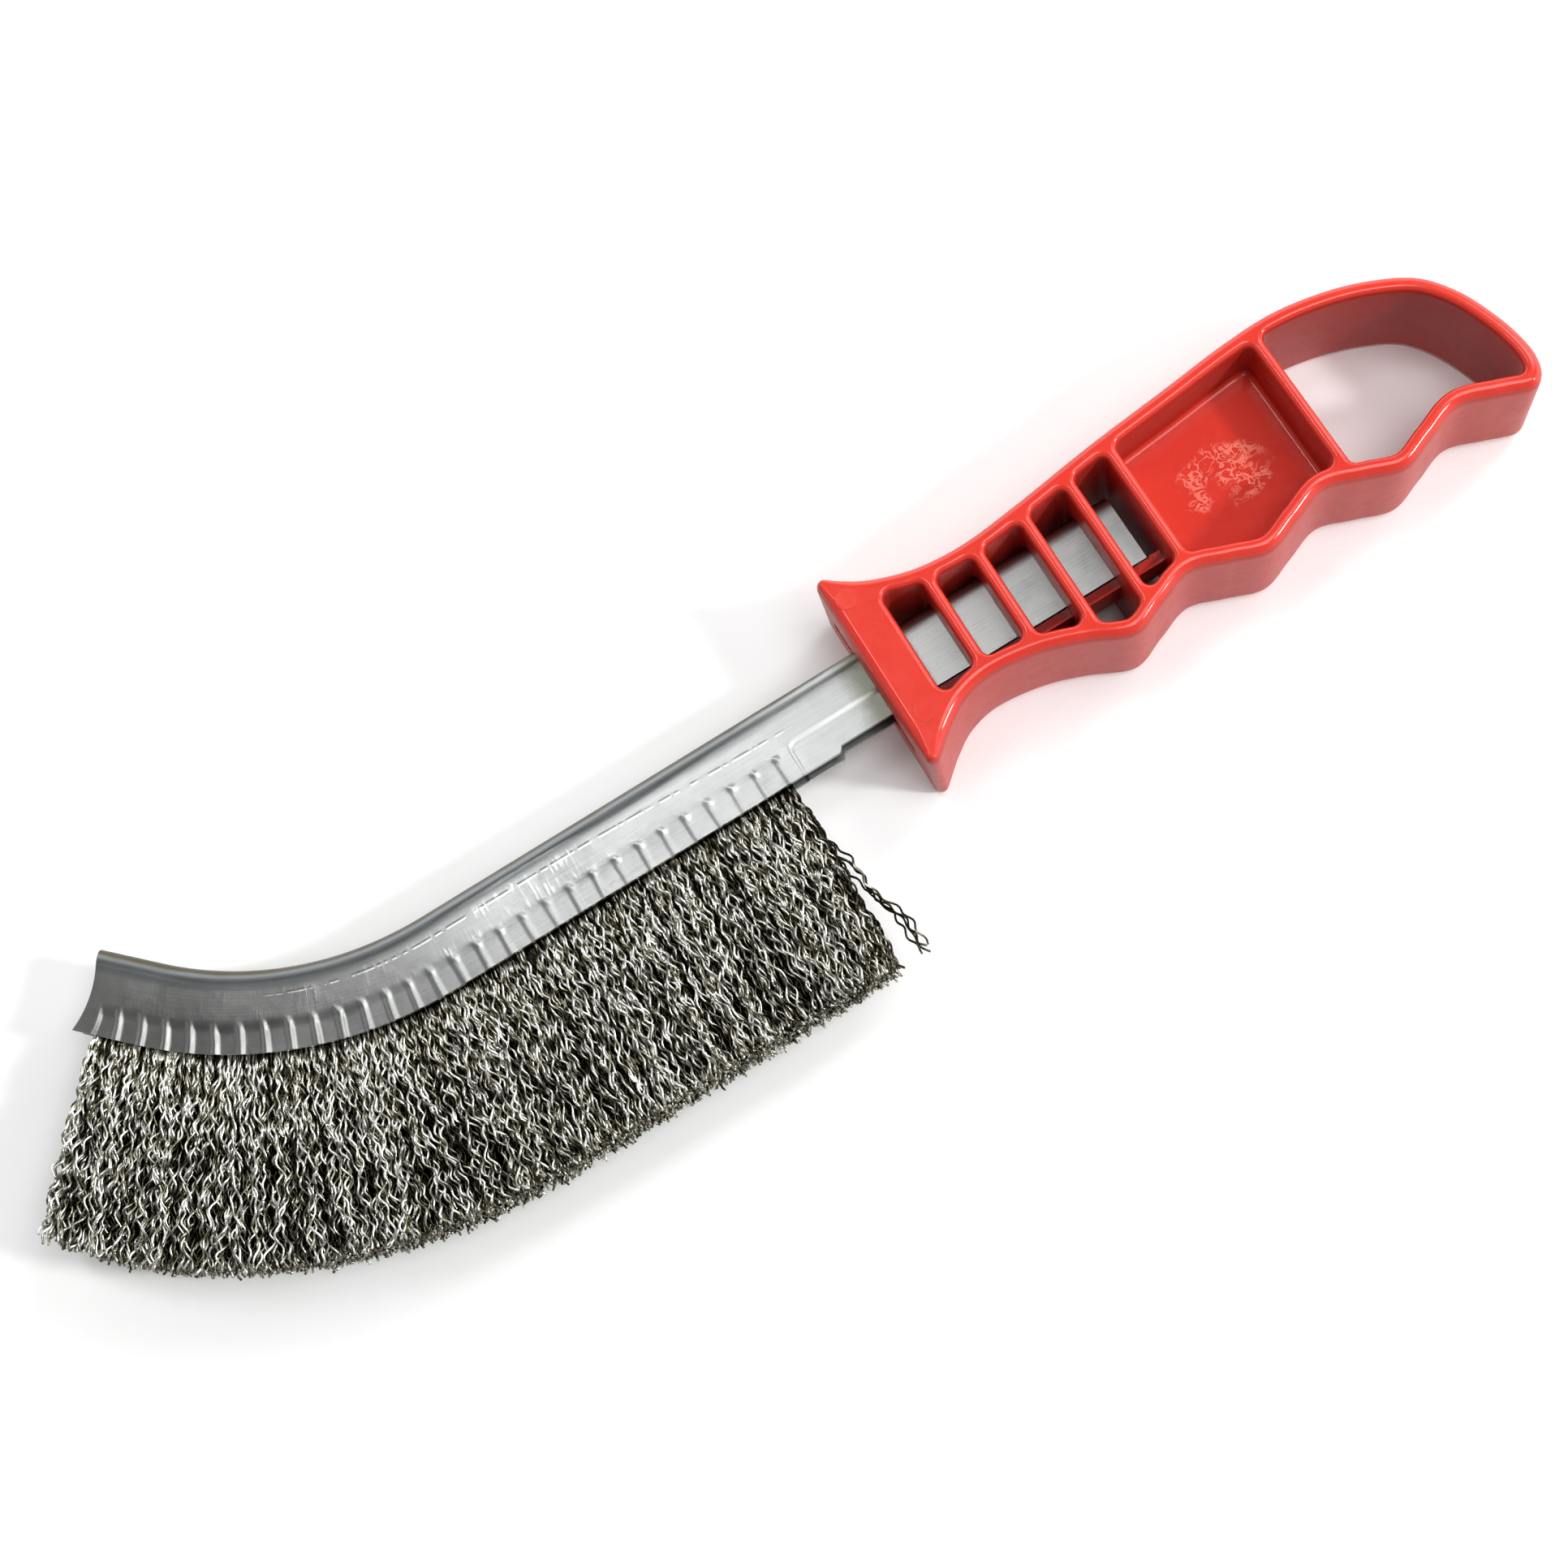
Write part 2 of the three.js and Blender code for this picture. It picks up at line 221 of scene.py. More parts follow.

# ---- colours, as linear red, green and blue, and coats, as a colour and its strength
REDS = ((0.58, 0.031, 0.019), (0.61, 0.035, 0.021), (0.63, 0.039, 0.024))
RED_SPECKLE = ((0.86, 0.12, 0.08), 0.12)
RED_RUBBED = ((0.90, 0.16, 0.11), 0.12)
RED_PAINTED_CORNER_SHADE = ((0.10, 0.004, 0.004), 0.8)
RED_UPRIGHT_PAINTED_SHADE = ((0.22, 0.012, 0.007), 0.55)
RED_STROKE = ((0.86, 0.22, 0.16), 0.75)
ZINCS = ((0.31, 0.32, 0.315), (0.375, 0.385, 0.38), (0.43, 0.435, 0.43))
ZINC_LINE = (0.48, 0.485, 0.48)
# aged zinc towards the tip, darkened further as painted shade
ZINC_AGED_AND_SHADED = ((0.12, 0.12, 0.115), (0.24, 0.245, 0.235))
ZINC_AGED_AND_SHADED_STRENGTH = 0.78
ZINC_RUBBED = ((0.74, 0.74, 0.73), 1.0)
ZINC_SHOULDER = ((0.115, 0.125, 0.13), 0.75)
ZINC_SPINE_PAINTED_REFLECTION = ((0.085, 0.073, 0.04), 0.95)
ZINC_NEAR_GUARD = ((0.10, 0.10, 0.065), 0.75)
CREASE_PAINTED_HIGHLIGHT = ((0.80, 0.80, 0.78), 1.0)
CREASE_PAINTED_SHADE = ((0.1, 0.1, 0.1), 0.6)
CORE_STEELS = ((0.22, 0.20, 0.17), (0.50, 0.49, 0.46), (0.62, 0.61, 0.58))
WIRE_STEELS = ((0.018, 0.017, 0.011), (0.065, 0.060, 0.038), (0.34, 0.325, 0.26), (0.86, 0.86, 0.82))
FLOOR_WHITES = ((0.88, 0.88, 0.875), (0.90, 0.90, 0.90))

# ---- floor, lights and camera, in metres and watts
FLOOR_SIZE = 8.0
FLOOR_GAP = 0.0002
LIGHTS = (
    # name, shift from the neck along x, direction from there, distance, width, height, power
    ("key", 0.0, (-0.05, 0.29, 0.957), 0.9, 0.11, 0.22, 1.0),
    ("right", 0.98, (0, 0.29, 0.957), 0.9, 0.90, 0.25, 4.7),
    ("left", -1.1, (0, 0.29, 0.957), 0.9, 0.50, 0.25, 0.7),
    ("glint", 0.1, (0.58, -0.52, 0.63), 1.3, 0.15, 0.15, 9.0),
    ("overhead", 0.0, (0.25, -0.22, 0.94), 1.3, 0.60, 0.60, 7.0),
)
LIT_X = -35.0  # the place on the neck that the lights are set around, in mm
WORLD_FLOOR = 0.2  # the room's least brightness
CAMERA_AZIMUTH = math.radians(-1.16)
CAMERA_ELEVATION = math.radians(74)
CAMERA_ROLL = math.radians(30.4)
CAMERA_DISTANCE = 0.3606
CAMERA_LENS = 55.1
CAMERA_AIM = (-19.85, -4.67, 10.0)  # in mm, in the brush's frame

channel_low, channel_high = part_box("channel")
SHIFT = np.array([channel_high.x / MM - TANG_LENGTH, channel_low.y / MM - MOUTH_Y, 0.0])


def row(points):
    """Points of the brush's frame in mm, as points of the row frame in metres."""
    return (np.asarray(points, float) + SHIFT) * MM


def smoothstep(low, high, value):
    """0 where value is at low or before it, 1 at high or beyond it, and eased between them."""
    share = np.clip((value - low) / (high - low), 0, 1)
    return share * share * (3 - 2 * share)


def mouth_at(s):
    """Points of the mouth line at the distances s, and the directions from there to the spine."""
    angle = np.clip((s - BEND_START) / BEND_RADIUS, 0, BEND_ANGLE)
    before = np.minimum(s, BEND_START)
    beyond = np.maximum(s - BEND_END, 0)
    x = -before - BEND_RADIUS * np.sin(angle) - beyond * np.cos(angle)
    y = MOUTH_Y + BEND_RADIUS * (1 - np.cos(angle)) + beyond * np.sin(angle)
    return np.stack([x, y], -1), np.stack([np.sin(angle), np.cos(angle)], -1)


def trim_at(s):
    """Where the wires that leave the mouth at the distances s are trimmed."""
    share = (s - BEND_START) / (CHANNEL_TIP - BEND_START)
    angle = TRIM_FAN * np.maximum(share, 0)
    radius = BEND_RADIUS + TRIM_LENGTH - TRIM_TIP_LOSS * np.maximum(0, (share - 0.75) / 0.25)
    straight = np.minimum(s, BEND_START)
    x = -straight - np.where(share > 0, radius * np.sin(angle), 0)
    y = np.where(share > 0, MOUTH_Y + BEND_RADIUS - radius * np.cos(angle), MOUTH_Y - TRIM_LENGTH)
    return np.stack([x, y], -1)


def place(s, h, t):
    """Points (s, h, t) along the channel, or below its mouth among the wires, in mm."""
    mouth, up = mouth_at(s)
    inside = mouth + up * h[..., None]
    share = (-h / TRIM_LENGTH)[..., None]
    outside = mouth + (trim_at(s) - mouth) * share
    flat = np.where(h[..., None] >= 0, inside, outside)
    return np.concatenate([flat, (MIDDLE_Z + t)[..., None]], -1)


# ---- meshes


def mesh_object(name, points, quads, material):
    """An object whose faces all have four corners, from arrays of points in mm and of indices."""
    mesh = bpy.data.meshes.new(name)
    mesh.vertices.add(len(points))
    mesh.vertices.foreach_set("co", row(points).astype(np.float32).ravel())
    mesh.loops.add(quads.size)
    mesh.loops.foreach_set("vertex_index", quads.astype(np.int32).ravel())
    mesh.polygons.add(len(quads))
    mesh.polygons.foreach_set("loop_start", np.arange(0, quads.size, 4, dtype=np.int32))
    mesh.update(calc_edges=True)
    return linked(name, mesh, material)


def placed(name, data):
    """A new object in the scene for a mesh, a light or a camera."""
    obj = bpy.data.objects.new(name, data)
    bpy.context.scene.collection.objects.link(obj)
    return obj


def linked(name, mesh, material):
    """A smooth-shaded object of one material for the mesh."""
    mesh.materials.append(material)
    mesh.shade_smooth()
    return placed(name, mesh)


def closed_mesh(name, points, faces):
    """A mesh of points in mm whose faces are all turned outwards."""
    mesh = bpy.data.meshes.new(name)
    mesh.from_pydata([tuple(p) for p in row(points)], [], faces)
    form = bmesh.new()
    form.from_mesh(mesh)
    bmesh.ops.recalc_face_normals(form, faces=form.faces)
    form.to_mesh(mesh)
    form.free()
    return mesh


def add_point_values(obj, name, values):
    attribute = obj.data.attributes.new(name, "FLOAT", "POINT")
    attribute.data.foreach_set("value", np.asarray(values, np.float32).ravel())


def cut_or_join(obj, tool, operation):
    """obj with tool cut from it or joined to it. The tool is removed."""
    step = obj.modifiers.new(operation.lower(), "BOOLEAN")
    step.operation = operation
    step.solver = "EXACT"
    step.object = tool
    bpy.context.view_layer.update()
    evaluated = obj.evaluated_get(bpy.context.evaluated_depsgraph_get())
    result = bpy.data.meshes.new_from_object(evaluated)
    obj.modifiers.clear()
    obj.data = result
    bpy.data.objects.remove(tool)


def prism_tool(outline, near, far):
    """A tool for cut_or_join: the closed 3-D outline moved from the offset near to the offset far."""
    outline = np.asarray(outline, float)
    count = len(outline)
    faces = [list(range(count)), list(range(2 * count - 1, count - 1, -1))]
    for i in range(count):
        j = (i + 1) % count
        faces.append([j, i, count + i, count + j])
    return placed("tool", closed_mesh("tool", np.concatenate([outline + near, outline + far]), faces))


def block_tool(x0, x1, y0, y1, half_width):
    """A tool for cut_or_join: a block from x0 to x1 and y0 to y1, on both sides of the middle plane."""
    z0, z1 = MIDDLE_Z - half_width, MIDDLE_Z + half_width
    section = [(0, y0, z0), (0, y1, z0), (0, y1, z1), (0, y0, z1)]
    return prism_tool(section, (x0, 0, 0), (x1, 0, 0))


# ---- outlines of the handle


def spline(points, steps=16):
    """Points on a smooth curve through the given points."""
    points = np.asarray(points, float)
    padded = np.concatenate([points[:1], points, points[-1:]])
    share = (np.arange(steps) / steps)[:, None]
    spans = []
    for p0, p1, p2, p3 in zip(padded, padded[1:], padded[2:], padded[3:]):
        v0, v1 = (p2 - p0) / 2, (p3 - p1) / 2
        cubic = (2 * p1 - 2 * p2 + v0 + v1) * share**3
        spans.append(cubic + (-3 * p1 + 3 * p2 - 2 * v0 - v1) * share**2 + v0 * share + p1)
    return np.concatenate(spans + [points[-1:]])


def unit(vectors):
    return vectors / np.linalg.norm(vectors, axis=-1, keepdims=True)


def measured(loop):
    """The distance of each point along the closed loop, back to the first, and the place at a distance."""
    closed = np.concatenate([loop, loop[:1]])
    reached = np.concatenate([[0], np.cumsum(np.linalg.norm(np.diff(closed, axis=0), axis=1))])

    def at(distance):
        return np.stack([np.interp(distance % reached[-1], reached, closed[:, i]) for i in range(2)], -1)

    return reached, at


def resampled(loop, spacing):
    """The closed loop with points at one even spacing."""
    reached, at = measured(loop)
    count = max(12, round(reached[-1] / spacing))
    return at(np.arange(count) * reached[-1] / count)


def turning(loop):
    """The angle by which the closed loop turns at each point, left turns positive."""
    edges = np.roll(loop, -1, 0) - loop
    heading = np.arctan2(edges[:, 1], edges[:, 0])
    return np.angle(np.exp(1j * (heading - np.roll(heading, 1))))


def rounded(loop, radius):
    """The closed loop with an arc in place of each sharp corner."""
    turn = np.abs(turning(loop))
    reached, at = measured(loop)
    length = reached[-1]
    arcs = {i: radius * math.tan(turn[i] / 2) for i in np.flatnonzero(turn > SHARP_TURN)}
    points = []
    for i, corner in enumerate(loop):
        gaps = [(abs(reached[i] - reached[j]), reach) for j, reach in arcs.items()]
        if i in arcs:
            a, b = at(reached[i] - arcs[i]), at(reached[i] + arcs[i])
            bend = 4 / 3 * math.tan(turn[i] / 4) / math.tan(turn[i] / 2)
            c1, c2 = a + (corner - a) * bend, b + (corner - b) * bend
            for share in np.linspace(0, 1, ARC_POINTS):
                rest = 1 - share
                middle = 3 * rest**2 * share * c1 + 3 * rest * share**2 * c2
                points.append(rest**3 * a + middle + share**3 * b)
        elif all(min(gap, length - gap) >= reach for gap, reach in gaps):
            points.append(corner)
    return np.array(points)


def normals(loop):
    """Unit vectors pointing out of the counter-clockwise loop at each of its points."""
    along = unit(np.roll(loop, -1, 0) - np.roll(loop, 1, 0))
    return np.stack([along[:, 1], -along[:, 0]], -1)


def clipped(loop, x, keep):
    """The part of the closed loop beyond x where keep is 1, or before x where it is -1."""
    side = (loop[:, 0] - x) * keep
    kept = []
    for i, point in enumerate(loop):
        j = (i + 1) % len(loop)
        if side[i] >= 0:
            kept.append(point)
        if (side[i] >= 0) != (side[j] >= 0):
            kept.append(point + (loop[j] - point) * side[i] / (side[i] - side[j]))
    return np.array(kept)


def handle_points():
    """Points along the handle's outline, from the guard's lower tip round the loop to its upper tip."""
    quarter = FINGER_PITCH / 4
    under_guard = [(0.9, -16.7), (5.3, -13), (9.3, -10.6), (14.5, -9.6), (22, -10.6), (28.6, -12.9)]
    fingers = [
        (FIRST_BUMP_X + i * quarter, FINGER_MIDDLE_Y - FINGER_DEPTH / 2 * math.cos(i * math.pi / 2))
        for i in range((BUMP_COUNT - 1) * 4)
    ]
    loop_end = [(103.3, -15.6), (105.6, -14.5), (106.7, -12), (106.8, -8.6), (105.9, -3.6), (103.6, 2.9)]
    back = [(99.9, 8.2), (94.5, 11.6), (87.5, 14.2), (79, 15.7), (70, 15.5), (58.7, 14.3), (45, 12.9)]
    guard_back = [(31, 11), (21.5, 10.1), (13.8, 10.7), (7.5, 12.7), (3.4, 15), (0.9, 16.9)]
    return under_guard + fingers + loop_end + back + guard_back


def handle_outline():
    """The handle's outline, counter-clockwise, with rounded guard tips."""
    curve = spline(handle_points())
    bottom = np.array([[GUARD_FRONT_X, -GUARD_CORNER_Y]])
    top = np.array([[GUARD_FRONT_X, GUARD_CORNER_Y]])
    front = np.linspace(top[0], bottom[0], 40)[1:-1]
    loop = np.concatenate([bottom, curve, top, front])
    return resampled(rounded(loop, GUARD_TIP_RADIUS), OUTLINE_SPACING)


def inner_outline(outline):
    """The outline moved inwards by the wall, without the folds that the finger bumps would make."""
    moved = outline - normals(outline) * WALL
    distance = np.linalg.norm(moved[:, None] - outline[None], axis=2).min(1)
    kept = moved[(distance > WALL * 0.985) & (moved[:, 0] > FIRST_WINDOW_X - 2)]
    return resampled(kept, OUTLINE_SPACING)


def cell(inner, x0, x1=math.inf):
    """One opening of the handle, from x0 to x1 or to the handle's end."""
    loop = clipped(clipped(inner, x0, 1), x1, -1)
    return resampled(rounded(loop, CELL_CORNER_RADIUS), CELL_SPACING)


# ---- handle


def rim_rings(radius, drop, z_rim, z_end, inwards):
    """(move, z) of each ring of a wall's rounded rim at z_rim, where the wall goes on to z_end.

    radius is the rounding's width and drop its height. move is how far a ring lies outside the
    wall's loop, for all its points or for each of them. inwards is 1 where the rounding leads into
    the loop, as at an outer rim or at the fillet round a floor, and -1 where it leads out of it.
    """
    down = math.copysign(1, z_end - z_rim)
    rings = [(-inwards * (radius + RING_FLAT), z_rim)]
    for i in range(FILLET_STEPS + 1):
        angle = math.pi / 2 * i / FILLET_STEPS
        move = -inwards * radius * (1 - math.sin(angle))
        rings.append((move, z_rim + down * drop * (1 - math.cos(angle))))
    return rings


def rim_widths(outline):
    """The rim rounding's width at each point of the outline: less where a corner is tighter."""
    radius = np.diff(measured(outline)[0]) / np.maximum(turning(outline), 1e-6)
    widths = np.minimum(RIM_RADIUS, RIM_CORNER_SHARE * radius)
    around = range(-RIM_EASE, RIM_EASE + 1)
    widths = np.min([np.roll(widths, i) for i in around], axis=0)
    return np.mean([np.roll(widths, i) for i in around], axis=0)


class Stack:
    """Rings of points joined to a surface, with caps that close it."""

    def __init__(self):
        self.points = []
        self.faces = []

    def add_points(self, flat, z):
        first = len(self.points)
        z = np.broadcast_to(z, len(flat))
        self.points.extend(np.concatenate([flat, z[:, None]], 1))
        return np.arange(first, first + len(flat))

    def add_wall(self, loop, rings):
        """Joins copies of loop, moved and set to the height that each ring gives. Returns both ends."""
        out = normals(loop)
        rows = []
        for move, z in rings:
            rows.append(self.add_points(loop + out * np.broadcast_to(move, len(loop))[:, None], z))
        for upper, lower in zip(rows, rows[1:]):
            quads = np.stack([upper, lower, np.roll(lower, -1), np.roll(upper, -1)], 1)
            self.faces.extend(quads.tolist())
        return rows[0], rows[-1]

    def add_cap(self, rims, inner=(), lift=None):
        """Fills the area inside the first rim and outside the others, through the inner points.

        lift(points) says how far each inner point lies above the rims.
        """
        flat = [Vector(self.points[i][:2]) for rim in rims for i in rim] + [Vector(p) for p in inner]
        areas, first = [], 0
        for rim in rims:
            areas.append(list(range(first, first + len(rim))))
            first += len(rim)
        index = list(np.concatenate(rims))
        z = self.points[rims[0][0]][2]
        if len(inner):
            inner = np.asarray(inner)
            index += list(self.add_points(inner, z + lift(inner)))
        _, _, faces, origins, _, inside = delaunay_2d_cdt(flat, [], areas, 1, 1e-7)
        for face, areas_around in zip(faces, inside):
            if list(areas_around) == [0]:
                self.faces.append([int(index[origins[corner][0]]) for corner in face])


def lumps(points, size, seed):
    """A smooth random height, from about -1 to 1, with lumps of about the given size."""
    source = np.random.default_rng(seed)
    value = np.zeros(len(points))
    for _ in range(24):
        angle = source.uniform(0, 2 * math.pi)
        wave = source.uniform(0.6, 1.7) * 2 * math.pi / size
        direction = np.array([math.cos(angle), math.sin(angle)]) * wave
        value += np.sin(points @ direction + source.uniform(0, 2 * math.pi))
    return value / 4


def worn_patch(points):
    """Height of the scuffed, slightly raised patch in the middle of the panel, in mm."""
    from_middle = (points - PATCH_MIDDLE) / PATCH_HALF_SIZE
    reach = np.hypot(from_middle[:, 0], from_middle[:, 1]) + 0.22 * lumps(points, 9, 3)
    texture = 0.6 + 0.5 * lumps(points * [1.0, 0.6], 1.6, 5)
    return PATCH_HEIGHT * smoothstep(1.0, 0.7, reach) * texture


def floor_points(rim):
    """A staggered grid of points inside the panel's floor, clear of its rim."""
    low, high = rim.min(0), rim.max(0)
    xs = np.arange(low[0], high[0], FLOOR_GRID)
    ys = np.arange(low[1], high[1], FLOOR_GRID)
    grid = np.stack(np.meshgrid(xs, ys), -1)
    grid[1::2, :, 0] += FLOOR_GRID / 2
    grid = grid.reshape(-1, 2)
    distance = np.linalg.norm(grid[:, None] - rim[None], axis=2)
    nearest = distance.argmin(1)
    inside = ((grid - rim[nearest]) * normals(rim)[nearest]).sum(1) < 0
    return grid[inside & (distance.min(1) > FLOOR_GRID * 0.6)]


def through_rings(radius, drop, inwards):
    """Rings of a wall that goes right through the handle, with both of its rims rounded."""
    upper = rim_rings(radius, drop, THICKNESS, 0, inwards)
    return upper + rim_rings(radius, drop, 0, THICKNESS, inwards)[::-1]


def handle_mesh():
    """The moulding's mesh: outer wall, windows, loop, and a recess on each side of the panel's web."""
    outline = handle_outline()
    inner = inner_outline(outline)
    starts = (FIRST_WINDOW_X,) + tuple(x + RIB / 2 for x in RIB_XS[:-1])
    through = [cell(inner, start, x - RIB / 2) for start, x in zip(starts, RIB_XS)]
    through.append(cell(inner, LOOP_RIB_X + RIB / 2))
    panel = cell(inner, RIB_XS[-1] + RIB / 2, LOOP_RIB_X - RIB / 2)

    stack = Stack()
    rims = {0: [], THICKNESS: []}
    walls = [(outline, through_rings(rim_widths(outline), RIM_DROP, 1))]
    walls += [(loop, through_rings(HOLE_RIM_RADIUS, HOLE_RIM_DROP, -1)) for loop in through]
    for loop, rings in walls:
        top, bottom = stack.add_wall(loop, rings)
        rims[THICKNESS].append(top)
        rims[0].append(bottom)
    for z_rim, side in ((THICKNESS, 1), (0, -1)):
        z_floor = MIDDLE_Z + side * PANEL_WEB / 2
        rings = rim_rings(HOLE_RIM_RADIUS, HOLE_RIM_DROP, z_rim, z_floor, -1)
        rings += rim_rings(FLOOR_RADIUS, FLOOR_RADIUS, z_floor, z_rim, 1)[::-1]
        rim, floor = stack.add_wall(panel, rings)
        rims[z_rim].append(rim)
        boundary = np.array([stack.points[i][:2] for i in floor])
        stack.add_cap([floor], floor_points(boundary), lambda p, side=side: side * worn_patch(p))
    stack.add_cap(rims[THICKNESS])
    stack.add_cap(rims[0])
    return closed_mesh("handle_moulding", stack.points, stack.faces)


def handle_tools(handle):
    """Adds the tang's ledge, cuts its pocket and the slot across the guard, and adds the pin marks."""
    ledge_top = MOUTH_Y + TANG_STEP
    ledge = block_tool(FIRST_WINDOW_X - 1, RIB_XS[-1], ledge_top - LEDGE_HEIGHT, ledge_top, SPINE_RADIUS)
    cut_or_join(handle, ledge, "UNION")

    half = SPINE_RADIUS + CLEARANCE
    spine_middle = MOUTH_Y + CHANNEL_HEIGHT - SPINE_RADIUS
    section = [(0, ledge_top - CLEARANCE, MIDDLE_Z + half), (0, ledge_top - CLEARANCE, MIDDLE_Z - half)]
    for angle in np.linspace(math.pi, 0, 25):
        section.append((0, spine_middle + half * math.sin(angle), MIDDLE_Z + half * math.cos(angle)))
    pocket = prism_tool(section, (-OUTSIDE, 0, 0), (TANG_LENGTH + CLEARANCE, 0, 0))
    cut_or_join(handle, pocket, "DIFFERENCE")
    slot = block_tool(-OUTSIDE, SLOT_DEPTH, SLOT_BOTTOM_Y, SLOT_TOP_Y, SLOT_WIDTH / 2)
    cut_or_join(handle, slot, "DIFFERENCE")

    for x, y in PIN_MARKS:
        circle = [
            (x + PIN_MARK_RADIUS * math.cos(a), y + PIN_MARK_RADIUS * math.sin(a), 0)
            for a in np.linspace(0, 2 * math.pi, 48, endpoint=False)
        ]
        mark = prism_tool(circle, (0, 0, THICKNESS - 1), (0, 0, THICKNESS + PIN_MARK_HEIGHT))
        cut_or_join(handle, mark, "UNION")


# ---- channel


def rounded_box(dx, dy, corner):
    """Signed distance from a rounded rectangle, from the distances outside its two pairs of sides."""
    qx, qy = dx + corner, dy + corner
    return np.hypot(np.maximum(qx, 0), np.maximum(qy, 0)) + np.minimum(np.maximum(qx, qy), 0) - corner


def press_depth(s, h, source):
    """How far each leg is pressed in at (s, h), in mm."""
    index = np.clip(np.floor((s - WIRE_START) / BUNDLE_PITCH), 0, BUNDLE_COUNT - 1).astype(int)
    centre = WIRE_START + (index + 0.5) * BUNDLE_PITCH
    tops = DENT_TOP + source.uniform(-DENT_TOP_SCATTER, DENT_TOP_SCATTER, BUNDLE_COUNT)
    strength = source.uniform(*DENT_STRENGTHS, BUNDLE_COUNT)
    slants = source.uniform(-DENT_SLANT, DENT_SLANT, BUNDLE_COUNT)
    half = (BUNDLE_PITCH - DENT_RIDGE) / 2
    bow = DENT_BOW * h**2 * smoothstep(DENT_BOW_START, DENT_DEEP_AT, s)
    across = np.abs(s - centre - slants[index] * h - bow) - half
    depth = DENT_SHALLOW + DENT_DEEPENING * smoothstep(DENT_SHALLOW_UNTIL, DENT_DEEP_AT, s)
    dents = depth * strength[index] * smoothstep(DENT_EDGE, -DENT_EDGE, across)
    dents = dents * smoothstep(DENT_TOP_EDGE, -DENT_TOP_EDGE, h - tops[index])

    ridge = WIRE_START + np.round((s - WIRE_START) / BUNDLE_PITCH) * BUNDLE_PITCH
    off = s - ridge - bow - TICK_SLANT * (h - CRIMP_HEIGHT)
    above = h - CRIMP_HEIGHT - TICK_RISE * off
    tick = np.exp(-(off / TICK_HALF_LENGTH) ** 2 - (above / TICK_HALF_WIDTH) ** 2)
    dents = dents - TICK_HEIGHT * tick * smoothstep(DENT_DEEP_AT, TICK_END, s) * (s > ridge.min())
    dents *= (s > WIRE_START - DENT_EDGE) & (s < WIRE_END + DENT_EDGE)

    into_recess = rounded_box(s - RECESS_START, h - RECESS_TOP, RECESS_CORNER)
    recess = RECESS_DEPTH * smoothstep(RECESS_EDGE, -RECESS_EDGE, into_recess)
    return dents + recess * smoothstep(*RECESS_FADE, s)


def leg_profile(s, h):
    """Half the channel's width at (s, h): pinched at the mouth where it holds the wires."""
    pinch = smoothstep(PINCH_START, PINCH_END, s)
    rise = smoothstep(-3, SHOULDER_HEIGHT + 2, h)
    narrow = MOUTH_HALF_WIDTH + (SPINE_RADIUS - MOUTH_HALF_WIDTH) * rise
    return SPINE_RADIUS + (narrow - SPINE_RADIUS) * pinch


def channel_object(material):
    """The folded sheet with its tang, as rings of points outside and inside it at each station."""
    stations = np.concatenate([np.arange(*stretch) for stretch in STATIONS] + [[CHANNEL_TIP]])
    spine_middle = CHANNEL_HEIGHT - SPINE_RADIUS
    leg = np.linspace(0, spine_middle, LEG_SAMPLES)
    turn = np.linspace(0, math.pi, SPINE_SAMPLES)[1:-1]
    heights, inner_heights = (
        np.concatenate([leg, spine_middle + radius * np.sin(turn), leg[::-1]])
        for radius in (SPINE_RADIUS, SPINE_RADIUS - SHEET)
    )
    sides = np.concatenate([np.ones(LEG_SAMPLES), np.cos(turn), -np.ones(LEG_SAMPLES)])

    s, h = np.meshgrid(stations, heights, indexing="ij")
    s, inner_h = np.meshgrid(stations, inner_heights, indexing="ij")
    side = np.broadcast_to(sides, s.shape)
    on_leg = np.abs(side) == 1
    upper, lower = (press_depth(s, h, np.random.default_rng(seed)) for seed in (4, 9))
    pressed = np.where(side > 0, upper, lower)
    wavy = WAVINESS * lumps(np.stack([s, h], -1).reshape(-1, 2), WAVINESS_SIZE, 11).reshape(s.shape)
    leg_half = leg_profile(s, h) - pressed + wavy * smoothstep(4, PINCH_END, s)
    half = np.where(on_leg, leg_half, SPINE_RADIUS)

    lift = TANG_STEP * smoothstep(TANG_STEP_AT + STEP_EDGE, TANG_STEP_AT - STEP_EDGE, s)
    hollow = TIP_HOLLOW * smoothstep(CHANNEL_TIP - TIP_HOLLOW_LENGTH, CHANNEL_TIP, s)
    curve = 1 - (2 * h / CHANNEL_HEIGHT - 1) ** 2
    outer, inner = (
        place(s - hollow * curve, up + lift * np.clip(1 - up / RECESS_TOP, 0, 1), side * out)
        for up, out in ((h, half), (inner_h, half - SHEET))
    )
    ring = np.concatenate([outer, inner[:, ::-1]], 1)
    rows, around = ring.shape[:2]
    index = np.arange(rows * around).reshape(rows, around)
    onward = np.roll(index, -1, 1)
    quads = np.stack([index[:-1], onward[:-1], onward[1:], index[1:]], -1).reshape(-1, 4)
    count = len(heights)
    out, back = index[:, :count], index[:, :count - 1:-1]
    first = np.stack([out[0, :-1], back[0, :-1], back[0, 1:], out[0, 1:]], -1)
    last = np.stack([out[-1, :-1], out[-1, 1:], back[-1, 1:], back[-1, :-1]], -1)
    faces = np.concatenate([quads, first, last])
    obj = mesh_object("channel_pressed", ring.reshape(-1, 3), faces, material)
    add_point_values(obj, "along", np.repeat(stations, around))
    add_point_values(obj, "height", np.concatenate([h, inner_h[:, ::-1]], 1))
    obj.data.set_sharp_from_angle(angle=math.radians(50))
    return obj


# ---- wire


